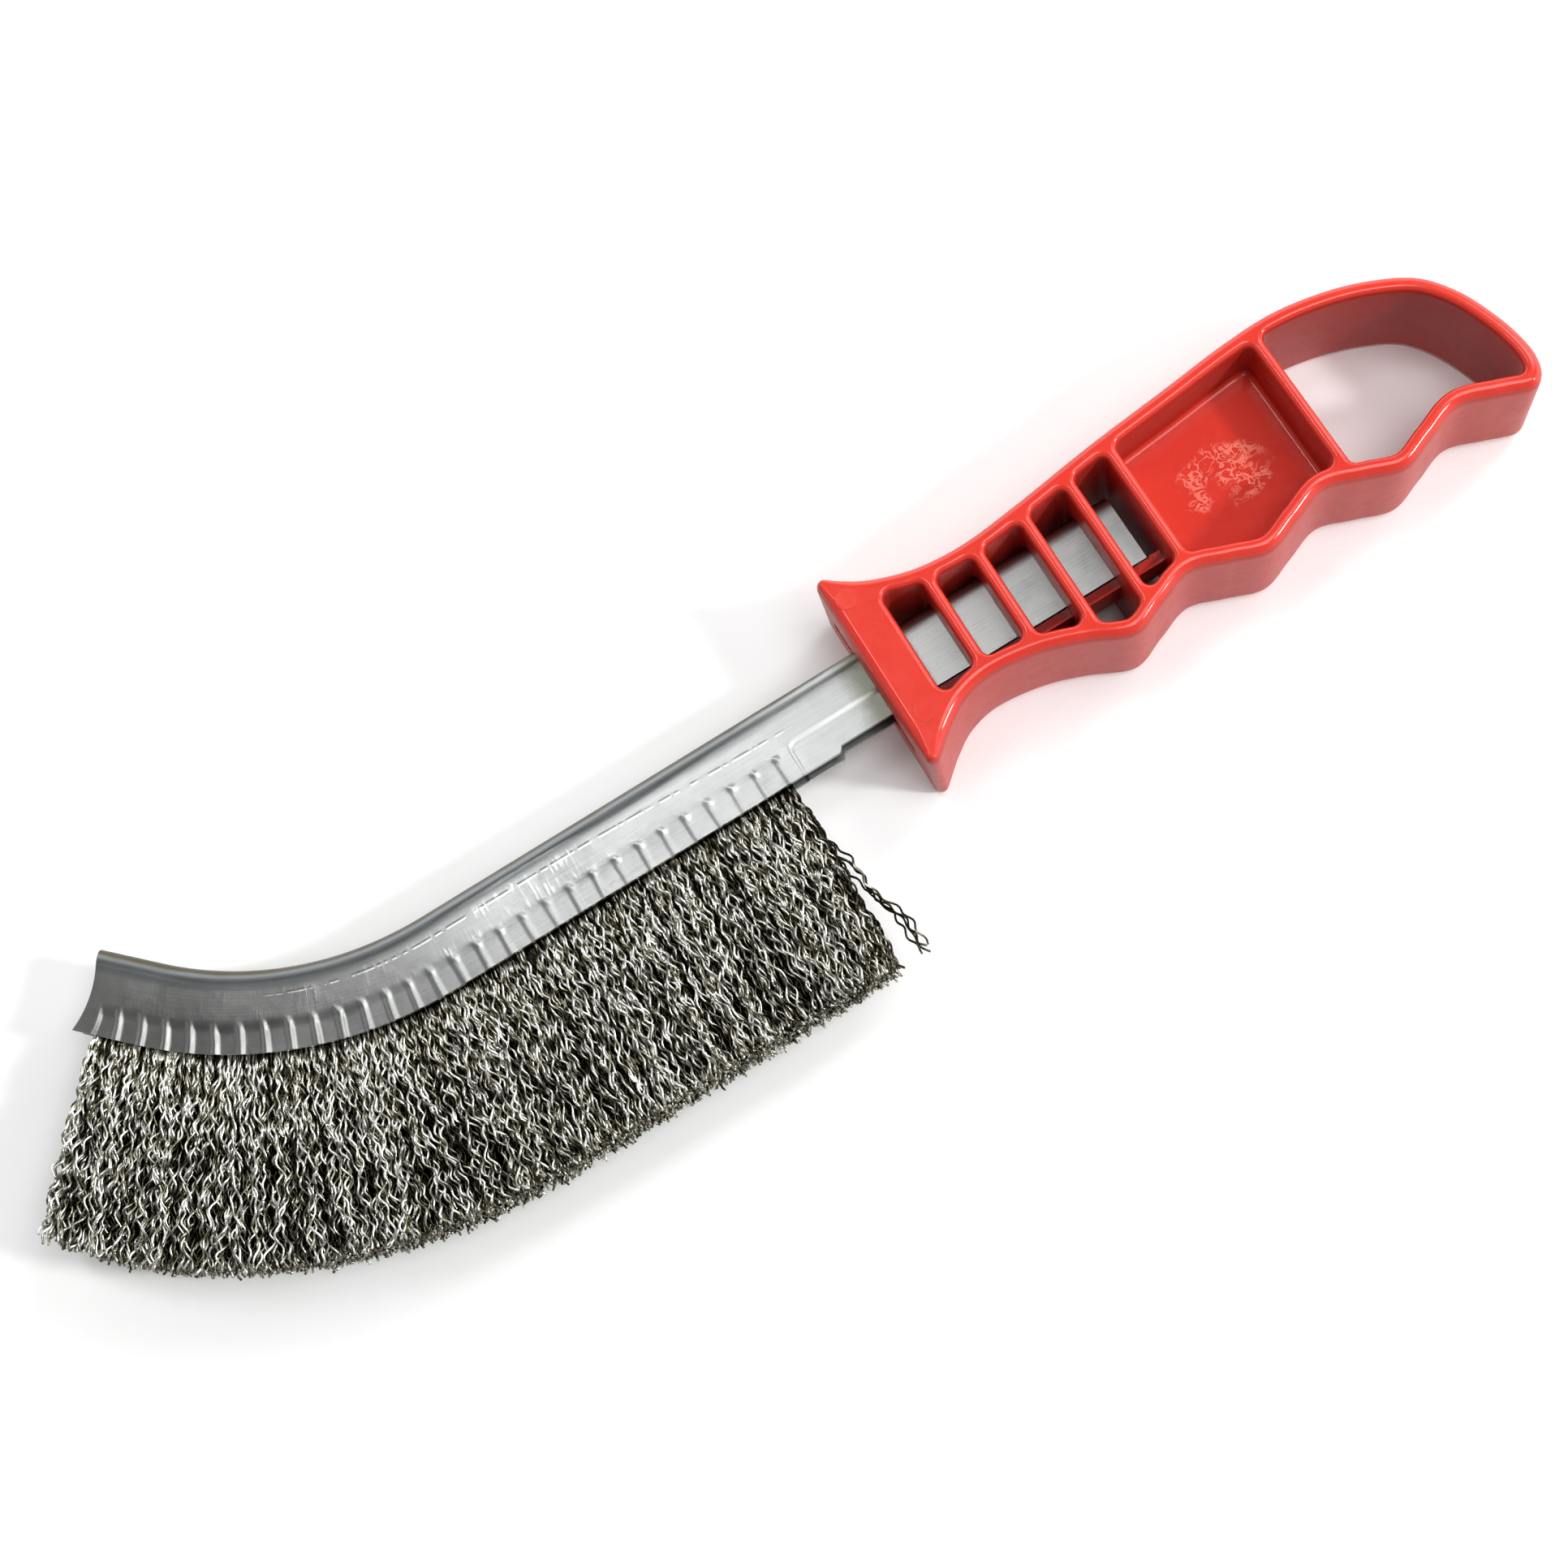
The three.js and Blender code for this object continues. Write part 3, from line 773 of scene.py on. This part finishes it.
def leg_paths(source, root_s, side, layer, lean, power):
    """Paths (s, h, t, crest) of wire legs, from the trim up to the core wire.

    crest is 1 where a wave of the wire stands furthest out of the pack and 0 where it goes in.
    """
    count = len(root_s)
    depth = TRIM_LENGTH + source.normal(0, TRIM_SCATTER, count)
    samples = round(TRIM_LENGTH / POINT_SPACING)
    share = np.linspace(1, 0, samples)[None]
    d = depth[:, None] * share
    at_mouth = source.uniform(*AT_MOUTH, count)
    order = SPREAD_ORDER * at_mouth + source.uniform(*SPREAD_SCATTER, count)
    spread = SPREAD * np.clip(order, 0, SPREAD_LIMIT)
    t = side * (at_mouth[:, None] + (spread - at_mouth)[:, None] * share ** SPREAD_CURVE)
    s = root_s[:, None] + lean[:, None] * share ** power[:, None]

    def drawn(low, high):
        return source.uniform(low, high, count)[:, None]

    wave = drawn(*WAVE_LENGTHS)
    phase = drawn(0, 2 * math.pi) + 2 * math.pi * d / wave
    twist = drawn(0, 2 * math.pi) + source.normal(0, WAVE_TWIST, count)[:, None] * share
    begins = smoothstep(*WAVE_BEGINS, d)
    s = s + drawn(*WAVE_ALONG) * begins * np.sin(phase)
    t = t + drawn(*WAVE_ACROSS) * begins * np.sin(phase + twist)
    crest = 0.5 + 0.5 * side * np.sin(phase + twist)
    wander_s, wander_t = (
        np.sin(2 * math.pi * (d / drawn(*WANDER_LENGTHS) + drawn(0, 1))) for _ in range(2)
    )
    s = s + WANDER_ALONG * smoothstep(0, WANDER_ALONG_FULL, d) * wander_s
    t = t + WANDER_ACROSS * smoothstep(0, WANDER_ACROSS_FULL, d) * wander_t

    height = np.linspace(0, CORE_WIRE_HEIGHT, INSIDE_SAMPLES + 1)[None, 1:]
    close = smoothstep(CRIMP_HEIGHT - 1, CORE_WIRE_HEIGHT, height)
    inside_t = side * (at_mouth[:, None] + (layer - at_mouth)[:, None] * close)
    return np.stack([
        np.concatenate([below, np.broadcast_to(above, inside_t.shape)], 1)
        for below, above in ((s, root_s[:, None]), (-d, height), (t, inside_t), (crest, 0.0))
    ], -1)


def hairpins(source, index):
    """Paths (wire, point, (s, h, t, crest)) in mm of one bundle's folded wires."""
    count = HAIRPINS + (STRAYS if index == 0 else 0)
    stray = np.arange(count) >= HAIRPINS
    room = BUNDLE_PITCH / 2 - ROOT_MARGIN
    root_s = WIRE_START + (index + 0.5) * BUNDLE_PITCH + source.uniform(-room, room, count)
    root_s = np.where(stray, WIRE_START + source.uniform(*STRAY_ROOT, count), root_s)
    layer = CORE_WIRE_RADIUS + WIRE_RADIUS + source.uniform(*LAYERS, count)
    legs = []
    for side in (1, -1):
        lean = source.normal(0, LEAN, count)
        if index in (0, BUNDLE_COUNT - 1):
            lean = np.abs(lean) * (1 if index == 0 else -1)
        lean = np.where(stray, -source.uniform(*STRAY_LEAN, count), lean)
        legs.append(leg_paths(source, root_s, side, layer, lean, np.where(stray, STRAY_CURVE, 1.0)))
    one, other = legs
    turn = np.linspace(0, math.pi, LOOP_SAMPLES + 2)[None, 1:-1]
    over = np.stack([
        np.broadcast_to(root_s[:, None], (count, LOOP_SAMPLES)),
        CORE_WIRE_HEIGHT + layer[:, None] * np.sin(turn),
        layer[:, None] * np.cos(turn),
        np.zeros((count, LOOP_SAMPLES)),
    ], -1)
    return np.concatenate([one, over, other[:, ::-1]], 1)


def wire_bundle(index, material):
    """One bundle's wires as tubes, with each wire's tone and how much painted light each place on it gets.
    """
    source = np.random.default_rng(100 + index)
    along, height, across, crest = np.moveaxis(hairpins(source, index), -1, 0)
    path = place(along, height, across)
    up = mouth_at(along)[1]
    along_channel = np.concatenate([-up[..., 1:], up[..., :1], np.zeros_like(up[..., :1])], -1)
    tangent = unit(np.gradient(path, axis=1))
    first = unit(np.cross(tangent, along_channel))
    second = np.cross(tangent, first)
    turns = np.arange(WIRE_SIDES) * 2 * math.pi / WIRE_SIDES
    rings = path[:, :, None] + WIRE_RADIUS * (
        first[:, :, None] * np.cos(turns)[:, None] + second[:, :, None] * np.sin(turns)[:, None])
    wires, samples = path.shape[:2]
    vertex = np.arange(wires * samples * WIRE_SIDES).reshape(wires, samples, WIRE_SIDES)
    onward = np.roll(vertex, -1, 2)
    sides = np.stack([vertex[:, :-1], onward[:, :-1], onward[:, 1:], vertex[:, 1:]], -1).reshape(-1, 4)
    first_end, last_end = vertex[:, 0], vertex[:, -1]
    ends = np.concatenate([
        first_end[:, [3, 2, 1, 0]], first_end[:, [5, 4, 3, 0]],
        last_end[:, [0, 1, 2, 3]], last_end[:, [0, 3, 4, 5]],
    ])
    faces = np.concatenate([sides, ends])
    obj = mesh_object(f"wires_{index + 1:02d}", rings.reshape(-1, 3), faces, material)
    add_point_values(obj, "tone", np.repeat(source.uniform(0, 1, wires), samples * WIRE_SIDES))
    # painted light: bright on the outer wires and at the trim, brightest on the crests, dark deeper in the
    # pack
    depth = np.clip(-height / TRIM_LENGTH, 0, 1)
    reach = np.abs(across) / (SPREAD_AT_MOUTH + (SPREAD - SPREAD_AT_MOUTH) * depth**SPREAD_CURVE)
    at_trim = PAINTED_LIGHT_AT_TRIM * smoothstep(PAINTED_LIGHT_END, 1, depth)
    outer = np.maximum(smoothstep(*PAINTED_LIGHT_REACH, reach), at_trim)
    rubbed_and_painted_light = outer * (1 - PAINTED_HIGHLIGHT_CREST + PAINTED_HIGHLIGHT_CREST * crest)
    add_point_values(obj, "rubbed_and_painted_light", np.repeat(rubbed_and_painted_light, WIRE_SIDES))
    return obj


# ---- materials


def new_material(name):
    material = bpy.data.materials.new(name)
    material.use_nodes = True
    tree = material.node_tree
    tree.nodes.clear()
    shader = tree.nodes.new("ShaderNodeBsdfPrincipled")
    output = tree.nodes.new("ShaderNodeOutputMaterial")
    tree.links.new(shader.outputs["BSDF"], output.inputs["Surface"])
    return material, tree, shader


def put(tree, socket, value):
    """Sets a node's input to a constant, or links another node's output to it."""
    if isinstance(value, bpy.types.NodeSocket):
        tree.links.new(value, socket)
    else:
        socket.default_value = value


def node(tree, kind, inputs, **settings):
    """The outputs of a new node, with its inputs set or linked by name or number."""
    made = tree.nodes.new("ShaderNode" + kind)
    for name, value in settings.items():
        setattr(made, name, value)
    for key, value in inputs.items():
        put(tree, made.inputs[key], value)
    return made.outputs


def calculate(tree, operation, *values, clamp=False):
    return node(tree, "Math", dict(enumerate(values)), operation=operation, use_clamp=clamp)[0]


def times(tree, *values):
    product = values[0]
    for value in values[1:]:
        product = calculate(tree, "MULTIPLY", product, value)
    return product


def plus(tree, one, other):
    return calculate(tree, "ADD", one, other)


def apart(tree, one, other):
    """How far two values are apart."""
    return calculate(tree, "ABSOLUTE", calculate(tree, "SUBTRACT", one, other))


def between(tree, value, low, high, to_low=0.0, to_high=1.0):
    """value, eased from low..high to to_low..to_high."""
    inputs = dict(enumerate((value, low, high, to_low, to_high)))
    return node(tree, "MapRange", inputs, interpolation_type="SMOOTHSTEP")[0]


def window(tree, value, rise, full, fade, gone):
    """1 where value lies from full to fade, eased to 0 at rise and at gone."""
    return times(tree, between(tree, value, rise, full), between(tree, value, gone, fade))


def noise(tree, vector, scale, detail=2.0, roughness=0.5, distortion=0.0):
    inputs = {"Vector": vector, "Scale": scale, "Detail": detail, "Roughness": roughness}
    return node(tree, "TexNoise", {**inputs, "Distortion": distortion})["Fac"]


def coloured(tree, value, positions, colours):
    """A colour for each value: the given colours at their positions, and blends between them."""
    made = tree.nodes.new("ShaderNodeValToRGB")
    put(tree, made.inputs["Fac"], value)
    elements = made.color_ramp.elements
    while len(elements) < len(colours):
        elements.new(0.5)
    for element, position, colour in zip(elements, positions, colours):
        element.position = position
        element.color = (*colour, 1)
    return made.outputs["Color"]


def mixed(tree, share, one, other):
    """The first colour at share 0, the other one at share 1."""
    one, other = (c if isinstance(c, bpy.types.NodeSocket) else (*c, 1) for c in (one, other))
    return node(tree, "Mix", {0: share, 6: one, 7: other}, data_type="RGBA")[2]


def painted(tree, under, coat, *masks):
    """The colour under, with a coat over it as far as the masks and the coat's strength say."""
    colour, strength = coat
    return mixed(tree, times(tree, *masks, strength), under, colour)


def object_place(tree):
    return node(tree, "TexCoord", {})["Object"]


def point_value(tree, name):
    return node(tree, "Attribute", {}, attribute_type="GEOMETRY", attribute_name=name)["Fac"]


def axes_of(tree, vector):
    """The x, y and z of a vector."""
    return node(tree, "SeparateXYZ", {0: vector})


def vector_of(tree, *values):
    return node(tree, "CombineXYZ", dict(enumerate(values)))[0]


def bump(tree, height, distance, normal=None):
    """A normal for a surface that height raises by up to distance, in metres."""
    inputs = {"Strength": 1.0, "Distance": distance, "Height": height}
    if normal is not None:
        inputs["Normal"] = normal
    return node(tree, "Bump", inputs)["Normal"]


def strokes_on_patch(tree, at):
    """Fine wavy strokes inside the scuffed patch on the panel's two floors, 1 on a stroke."""
    x, y, z = axes_of(tree, at)
    middle = row([*PATCH_MIDDLE, MIDDLE_Z])
    squares = []
    for axis, centre, half in zip((x, y), middle, STROKES_HALF_SIZE):
        share = calculate(tree, "DIVIDE", calculate(tree, "SUBTRACT", axis, centre), half * MM)
        squares.append(calculate(tree, "POWER", share, 2))
    edge = plus(tree, plus(tree, *squares), noise(tree, at, 300, 3))
    gone, full = (depth * MM for depth in STROKES_DEPTH)
    on_floor = between(tree, apart(tree, z, middle[2]), gone, full)
    worn_through = between(tree, noise(tree, at, 170, 2), 0.38, 0.56)
    inside = times(tree, between(tree, edge, 1.5, 1.1), on_floor, worn_through)
    lines = apart(tree, noise(tree, at, 620, 1, 0.5, 1.2), 0.5)
    return times(tree, inside, between(tree, lines, 0.085, 0.035))


def red_plastic():
    """Glossy moulded plastic: faint flow mottling, orange peel, rubbed rims, painted shade in the corners
    and on upright faces.
    """
    material, tree, shader = new_material("red_moulded_plastic")
    at = object_place(tree)
    geometry = node(tree, "NewGeometry", {})
    edges = geometry["Pointiness"]
    depth = calculate(tree, "DIVIDE", apart(tree, axes_of(tree, at)[2], MIDDLE_Z * MM), MM)
    facing = calculate(tree, "ABSOLUTE", axes_of(tree, geometry["Normal"])[2])
    upright = between(tree, facing, 0.75, 0.3)

    colour = coloured(tree, noise(tree, at, 70, 4, 0.6, 0.8), (0.3, 0.5, 0.72), REDS)
    speckle = between(tree, noise(tree, at, 900, 3, 0.6), 0.62, 0.75)
    colour = painted(tree, colour, RED_SPECKLE, speckle)
    patchy = between(tree, noise(tree, at, 260, 3), 0.42, 0.62)
    rubbed_and_painted_light = between(tree, edges, 0.515, 0.56)
    colour = painted(tree, colour, RED_RUBBED, rubbed_and_painted_light, patchy)
    # painted shade: hollow corners are darkened, as if shade fell into them
    hollow, inside = between(tree, edges, 0.485, 0.44), between(tree, depth, *SHADED_CORNERS_END)
    colour = painted(tree, colour, RED_PAINTED_CORNER_SHADE, hollow, inside)
    # painted shade: upright faces are darkened, as if turned away from the light
    colour = painted(tree, colour, RED_UPRIGHT_PAINTED_SHADE, upright)
    strokes = strokes_on_patch(tree, at)
    colour = painted(tree, colour, RED_STROKE, strokes)
    put(tree, shader.inputs["Base Color"], colour)

    scuffed = between(tree, noise(tree, at, 420, 6, 0.7, 1.5), 0.35, 0.75, 0.15, 0.24)
    put(tree, shader.inputs["Roughness"], plus(tree, scuffed, times(tree, upright, 0.2)))
    normal = bump(tree, noise(tree, at, 420, 2, 0.5), 0.000004)
    normal = bump(tree, noise(tree, at, 2600, 3, 0.6), 0.000003, normal)
    put(tree, shader.inputs["Normal"], bump(tree, strokes, 0.00004, normal))
    shader.inputs["IOR"].default_value = 1.42
    return material


def crease_lines(tree, along, height):
    """The broken bright line along the sheet's crease, and the dark one just above it: a painted highlight
    and a painted shadow.
    """
    dotted = between(tree, noise(tree, vector_of(tree, along, 0.0, 7.0), 0.9, 2), 0.4, 0.56)
    present = times(tree, dotted, window(tree, along, *CREASE_ALONG))
    crease = between(tree, along, *CREASE_RISE_ALONG, *CREASE_UP)
    bright = between(tree, apart(tree, height, crease), 0.17, 0.06)
    above = plus(tree, crease, CREASE_SHADOW)
    dark = between(tree, apart(tree, height, above), 0.16, 0.05)
    return times(tree, bright, present), times(tree, dark, present)


def zinc_steel():
    """Zinc-coated sheet after the press: drawing lines, wrinkles above the crimps, a painted dark
    reflection along the fold.
    """
    material, tree, shader = new_material("pressed_zinc_sheet")
    at = object_place(tree)
    along, height = point_value(tree, "along"), point_value(tree, "height")
    cloud = noise(tree, at, 130, 4, 0.6, 0.6)
    spangle = noise(tree, at, 900, 3, 0.6)

    def stretched(along_scale, height_scale, shift=0.0):
        return vector_of(tree, times(tree, along, along_scale), times(tree, height, height_scale), shift)

    lines = noise(tree, stretched(0.05, 3.2), 1, 5, 0.65)
    wrinkles = noise(tree, stretched(1.5, 0.16), 1, 3, 0.5, 0.3)
    patches = between(tree, noise(tree, stretched(0.16, 0.2, 4.0), 1, 2), 0.38, 0.6)
    strained = times(
        tree, window(tree, height, *WRINKLES_UP), window(tree, along, *WRINKLES_ALONG), patches)
    rubbed_and_painted_light = times(tree, strained, between(tree, wrinkles, 0.5, 0.66))
    painted_crease_highlight, painted_crease_shade = crease_lines(tree, along, height)

    grey = coloured(tree, cloud, (0.25, 0.5, 0.8), ZINCS)
    grey = mixed(tree, between(tree, lines, 0.35, 0.75, 0.0, 0.5), grey, ZINC_LINE)
    grey = painted(tree, grey, ZINC_RUBBED, rubbed_and_painted_light)
    # darker towards the tip: aged zinc, and painted shade that stands in for the dark reflection there
    aged_and_shaded = (mixed(tree, cloud, *ZINC_AGED_AND_SHADED), ZINC_AGED_AND_SHADED_STRENGTH)
    grey = painted(tree, grey, aged_and_shaded, between(tree, along, *AGED_AND_SHADED_ALONG))
    shoulder = between(tree, height, *SHOULDER_UP)
    grey = painted(tree, grey, ZINC_SHOULDER, shoulder, between(tree, along, *SHOULDER_ALONG, 0.3, 1.0))
    # painted dark reflection, brownish and cloudy, along the top of the spine
    grey = painted(tree, grey, ZINC_SPINE_PAINTED_REFLECTION, between(tree, plus(tree, height, cloud), *SPINE_REFLECTION_UP))
    # darker next to the guard
    near_guard = between(tree, plus(tree, along, times(tree, cloud, 3)), *NEAR_GUARD_ALONG)
    grey = painted(tree, grey, ZINC_NEAR_GUARD, near_guard, between(tree, along, -1, 0))
    # painted highlight along the crease and painted shadow just above it
    grey = painted(tree, grey, CREASE_PAINTED_HIGHLIGHT, painted_crease_highlight)
    grey = painted(tree, grey, CREASE_PAINTED_SHADE, painted_crease_shade)
    put(tree, shader.inputs["Base Color"], grey)

    shader.inputs["Metallic"].default_value = 1.0
    rough = between(tree, plus(tree, cloud, times(tree, spangle, 0.5)), 0.4, 1.1, 0.31, 0.40)
    rough = calculate(tree, "SUBTRACT", rough, times(tree, rubbed_and_painted_light, 0.1), clamp=True)
    put(tree, shader.inputs["Roughness"], rough)

    normal = bump(tree, lines, 0.000022)
    normal = bump(tree, times(tree, strained, wrinkles), 0.00004, normal)
    normal = bump(tree, painted_crease_shade, 0.00002, normal)
    put(tree, shader.inputs["Normal"], bump(tree, spangle, 0.000008, normal))
    return material


def core_steel():
    """Drawn steel wire, with fine grain and a little oxide."""
    material, tree, shader = new_material("drawn_core_steel")
    at = object_place(tree)
    oxide = noise(tree, at, 500, 4, 0.6)
    put(tree, shader.inputs["Base Color"], coloured(tree, oxide, (0.35, 0.6, 0.8), CORE_STEELS))
    shader.inputs["Metallic"].default_value = 1.0
    put(tree, shader.inputs["Roughness"], between(tree, oxide, 0.3, 0.7, 0.28, 0.45))
    put(tree, shader.inputs["Normal"], bump(tree, noise(tree, at, 3500, 2), 0.00001))
    return material


def bristle_wire():
    """Crimped steel wire with oxide: painted highlights outside the pack, brightest on the crests, and
    painted shade inside it.
    """
    material, tree, shader = new_material("crimped_bristle_wire")
    oxide = noise(tree, object_place(tree), 380, 3, 0.6)
    tone, rubbed_and_painted_light = point_value(tree, "tone"), point_value(tree, "rubbed_and_painted_light")
    shade = plus(tree, times(tree, tone, 0.22), times(tree, oxide, 0.3))
    # painted highlights on the outer wires and their crests, painted shade deeper in the pack
    shade = plus(tree, shade, times(tree, rubbed_and_painted_light, 0.6))
    put(tree, shader.inputs["Base Color"], coloured(tree, shade, (0.3, 0.54, 0.70, 0.86), WIRE_STEELS))
    shader.inputs["Metallic"].default_value = 1.0
    put(tree, shader.inputs["Roughness"], between(tree, oxide, 0.3, 0.75, 0.16, 0.32))
    return material


# ---- the object

plastic = red_plastic()
zinc = zinc_steel()
bristle = bristle_wire()

handle = linked("handle_moulding", handle_mesh(), plastic)
handle_tools(handle)
handle.data.set_sharp_from_angle(angle=math.radians(42))
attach(handle, "root")
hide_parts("handle")

channel = channel_object(zinc)
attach(channel, "root")
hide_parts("channel")

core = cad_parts["core_wire"]
core.data.materials.clear()
core.data.materials.append(core_steel())

for number in range(BUNDLE_COUNT):
    wires = wire_bundle(number, bristle)
    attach(wires, "root")
    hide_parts(f"wire_bundle_{number + 1:02d}")

# ---- floor, light and camera


def floor():
    mesh = bpy.data.meshes.new("floor")
    half = FLOOR_SIZE / 2
    corners = [(-half, -half), (half, -half), (half, half), (-half, half)]
    mesh.from_pydata([(x, y, -FLOOR_GAP) for x, y in corners], [], [(0, 1, 2, 3)])
    material, tree, shader = new_material("pale_floor")
    paper = noise(tree, object_place(tree), 40, 3)
    put(tree, shader.inputs["Base Color"], coloured(tree, paper, (0.3, 0.7), FLOOR_WHITES))
    shader.inputs["Roughness"].default_value = 0.8
    shader.inputs["Specular IOR Level"].default_value = 0.2
    linked("floor", mesh, material)


def area_light(name, target, direction, distance, width, height, power):
    """A soft rectangular light that shines at target from that direction."""
    light = bpy.data.lights.new(name, "AREA")
    light.shape = "RECTANGLE"
    light.size = width
    light.size_y = height
    light.energy = power
    obj = placed(name, light)
    direction = Vector(direction).normalized()
    obj.location = target + direction * distance
    obj.rotation_euler = (-direction).to_track_quat("-Z", "Y").to_euler()


def studio_world():
    """A room that is bright at the height of the table, more so to the right, and dark overhead."""
    world = bpy.data.worlds.new("studio")
    bpy.context.scene.world = world
    world.use_nodes = True
    tree = world.node_tree
    x, y, z = axes_of(tree, node(tree, "TexCoord", {})["Generated"])
    to_the_right = plus(tree, times(tree, x, 0.7), times(tree, y, 0.7))
    near_table = between(tree, z, 0.65, 0.25)
    light = times(tree, near_table, between(tree, to_the_right, -0.7, 0.7, 0.2, 2.6))
    background = tree.nodes["Background"].inputs
    put(tree, background["Strength"], plus(tree, light, WORLD_FLOOR))
    background["Color"].default_value = (1, 1, 1, 1)


def camera():
    data = bpy.data.cameras.new("camera")
    data.lens = CAMERA_LENS
    data.sensor_width = 36
    data.clip_start = 0.01
    back = Vector((
        math.sin(CAMERA_AZIMUTH) * math.cos(CAMERA_ELEVATION),
        -math.cos(CAMERA_AZIMUTH) * math.cos(CAMERA_ELEVATION),
        math.sin(CAMERA_ELEVATION),
    ))
    obj = placed("camera", data)
    obj.location = Vector(row(CAMERA_AIM)) + back * CAMERA_DISTANCE
    turn = (-back).to_track_quat("-Z", "Y") @ Quaternion((0, 0, 1), -CAMERA_ROLL)
    obj.rotation_euler = turn.to_euler()
    bpy.context.scene.camera = obj


floor()
studio_world()
neck = Vector(row([LIT_X, 0, MIDDLE_Z]))
for light_name, shift, direction, distance, width, height, power in LIGHTS:
    area_light(light_name, neck + Vector((shift, 0, 0)), direction, distance, width, height, power)
camera()
bpy.context.scene.view_settings.view_transform = "Standard"
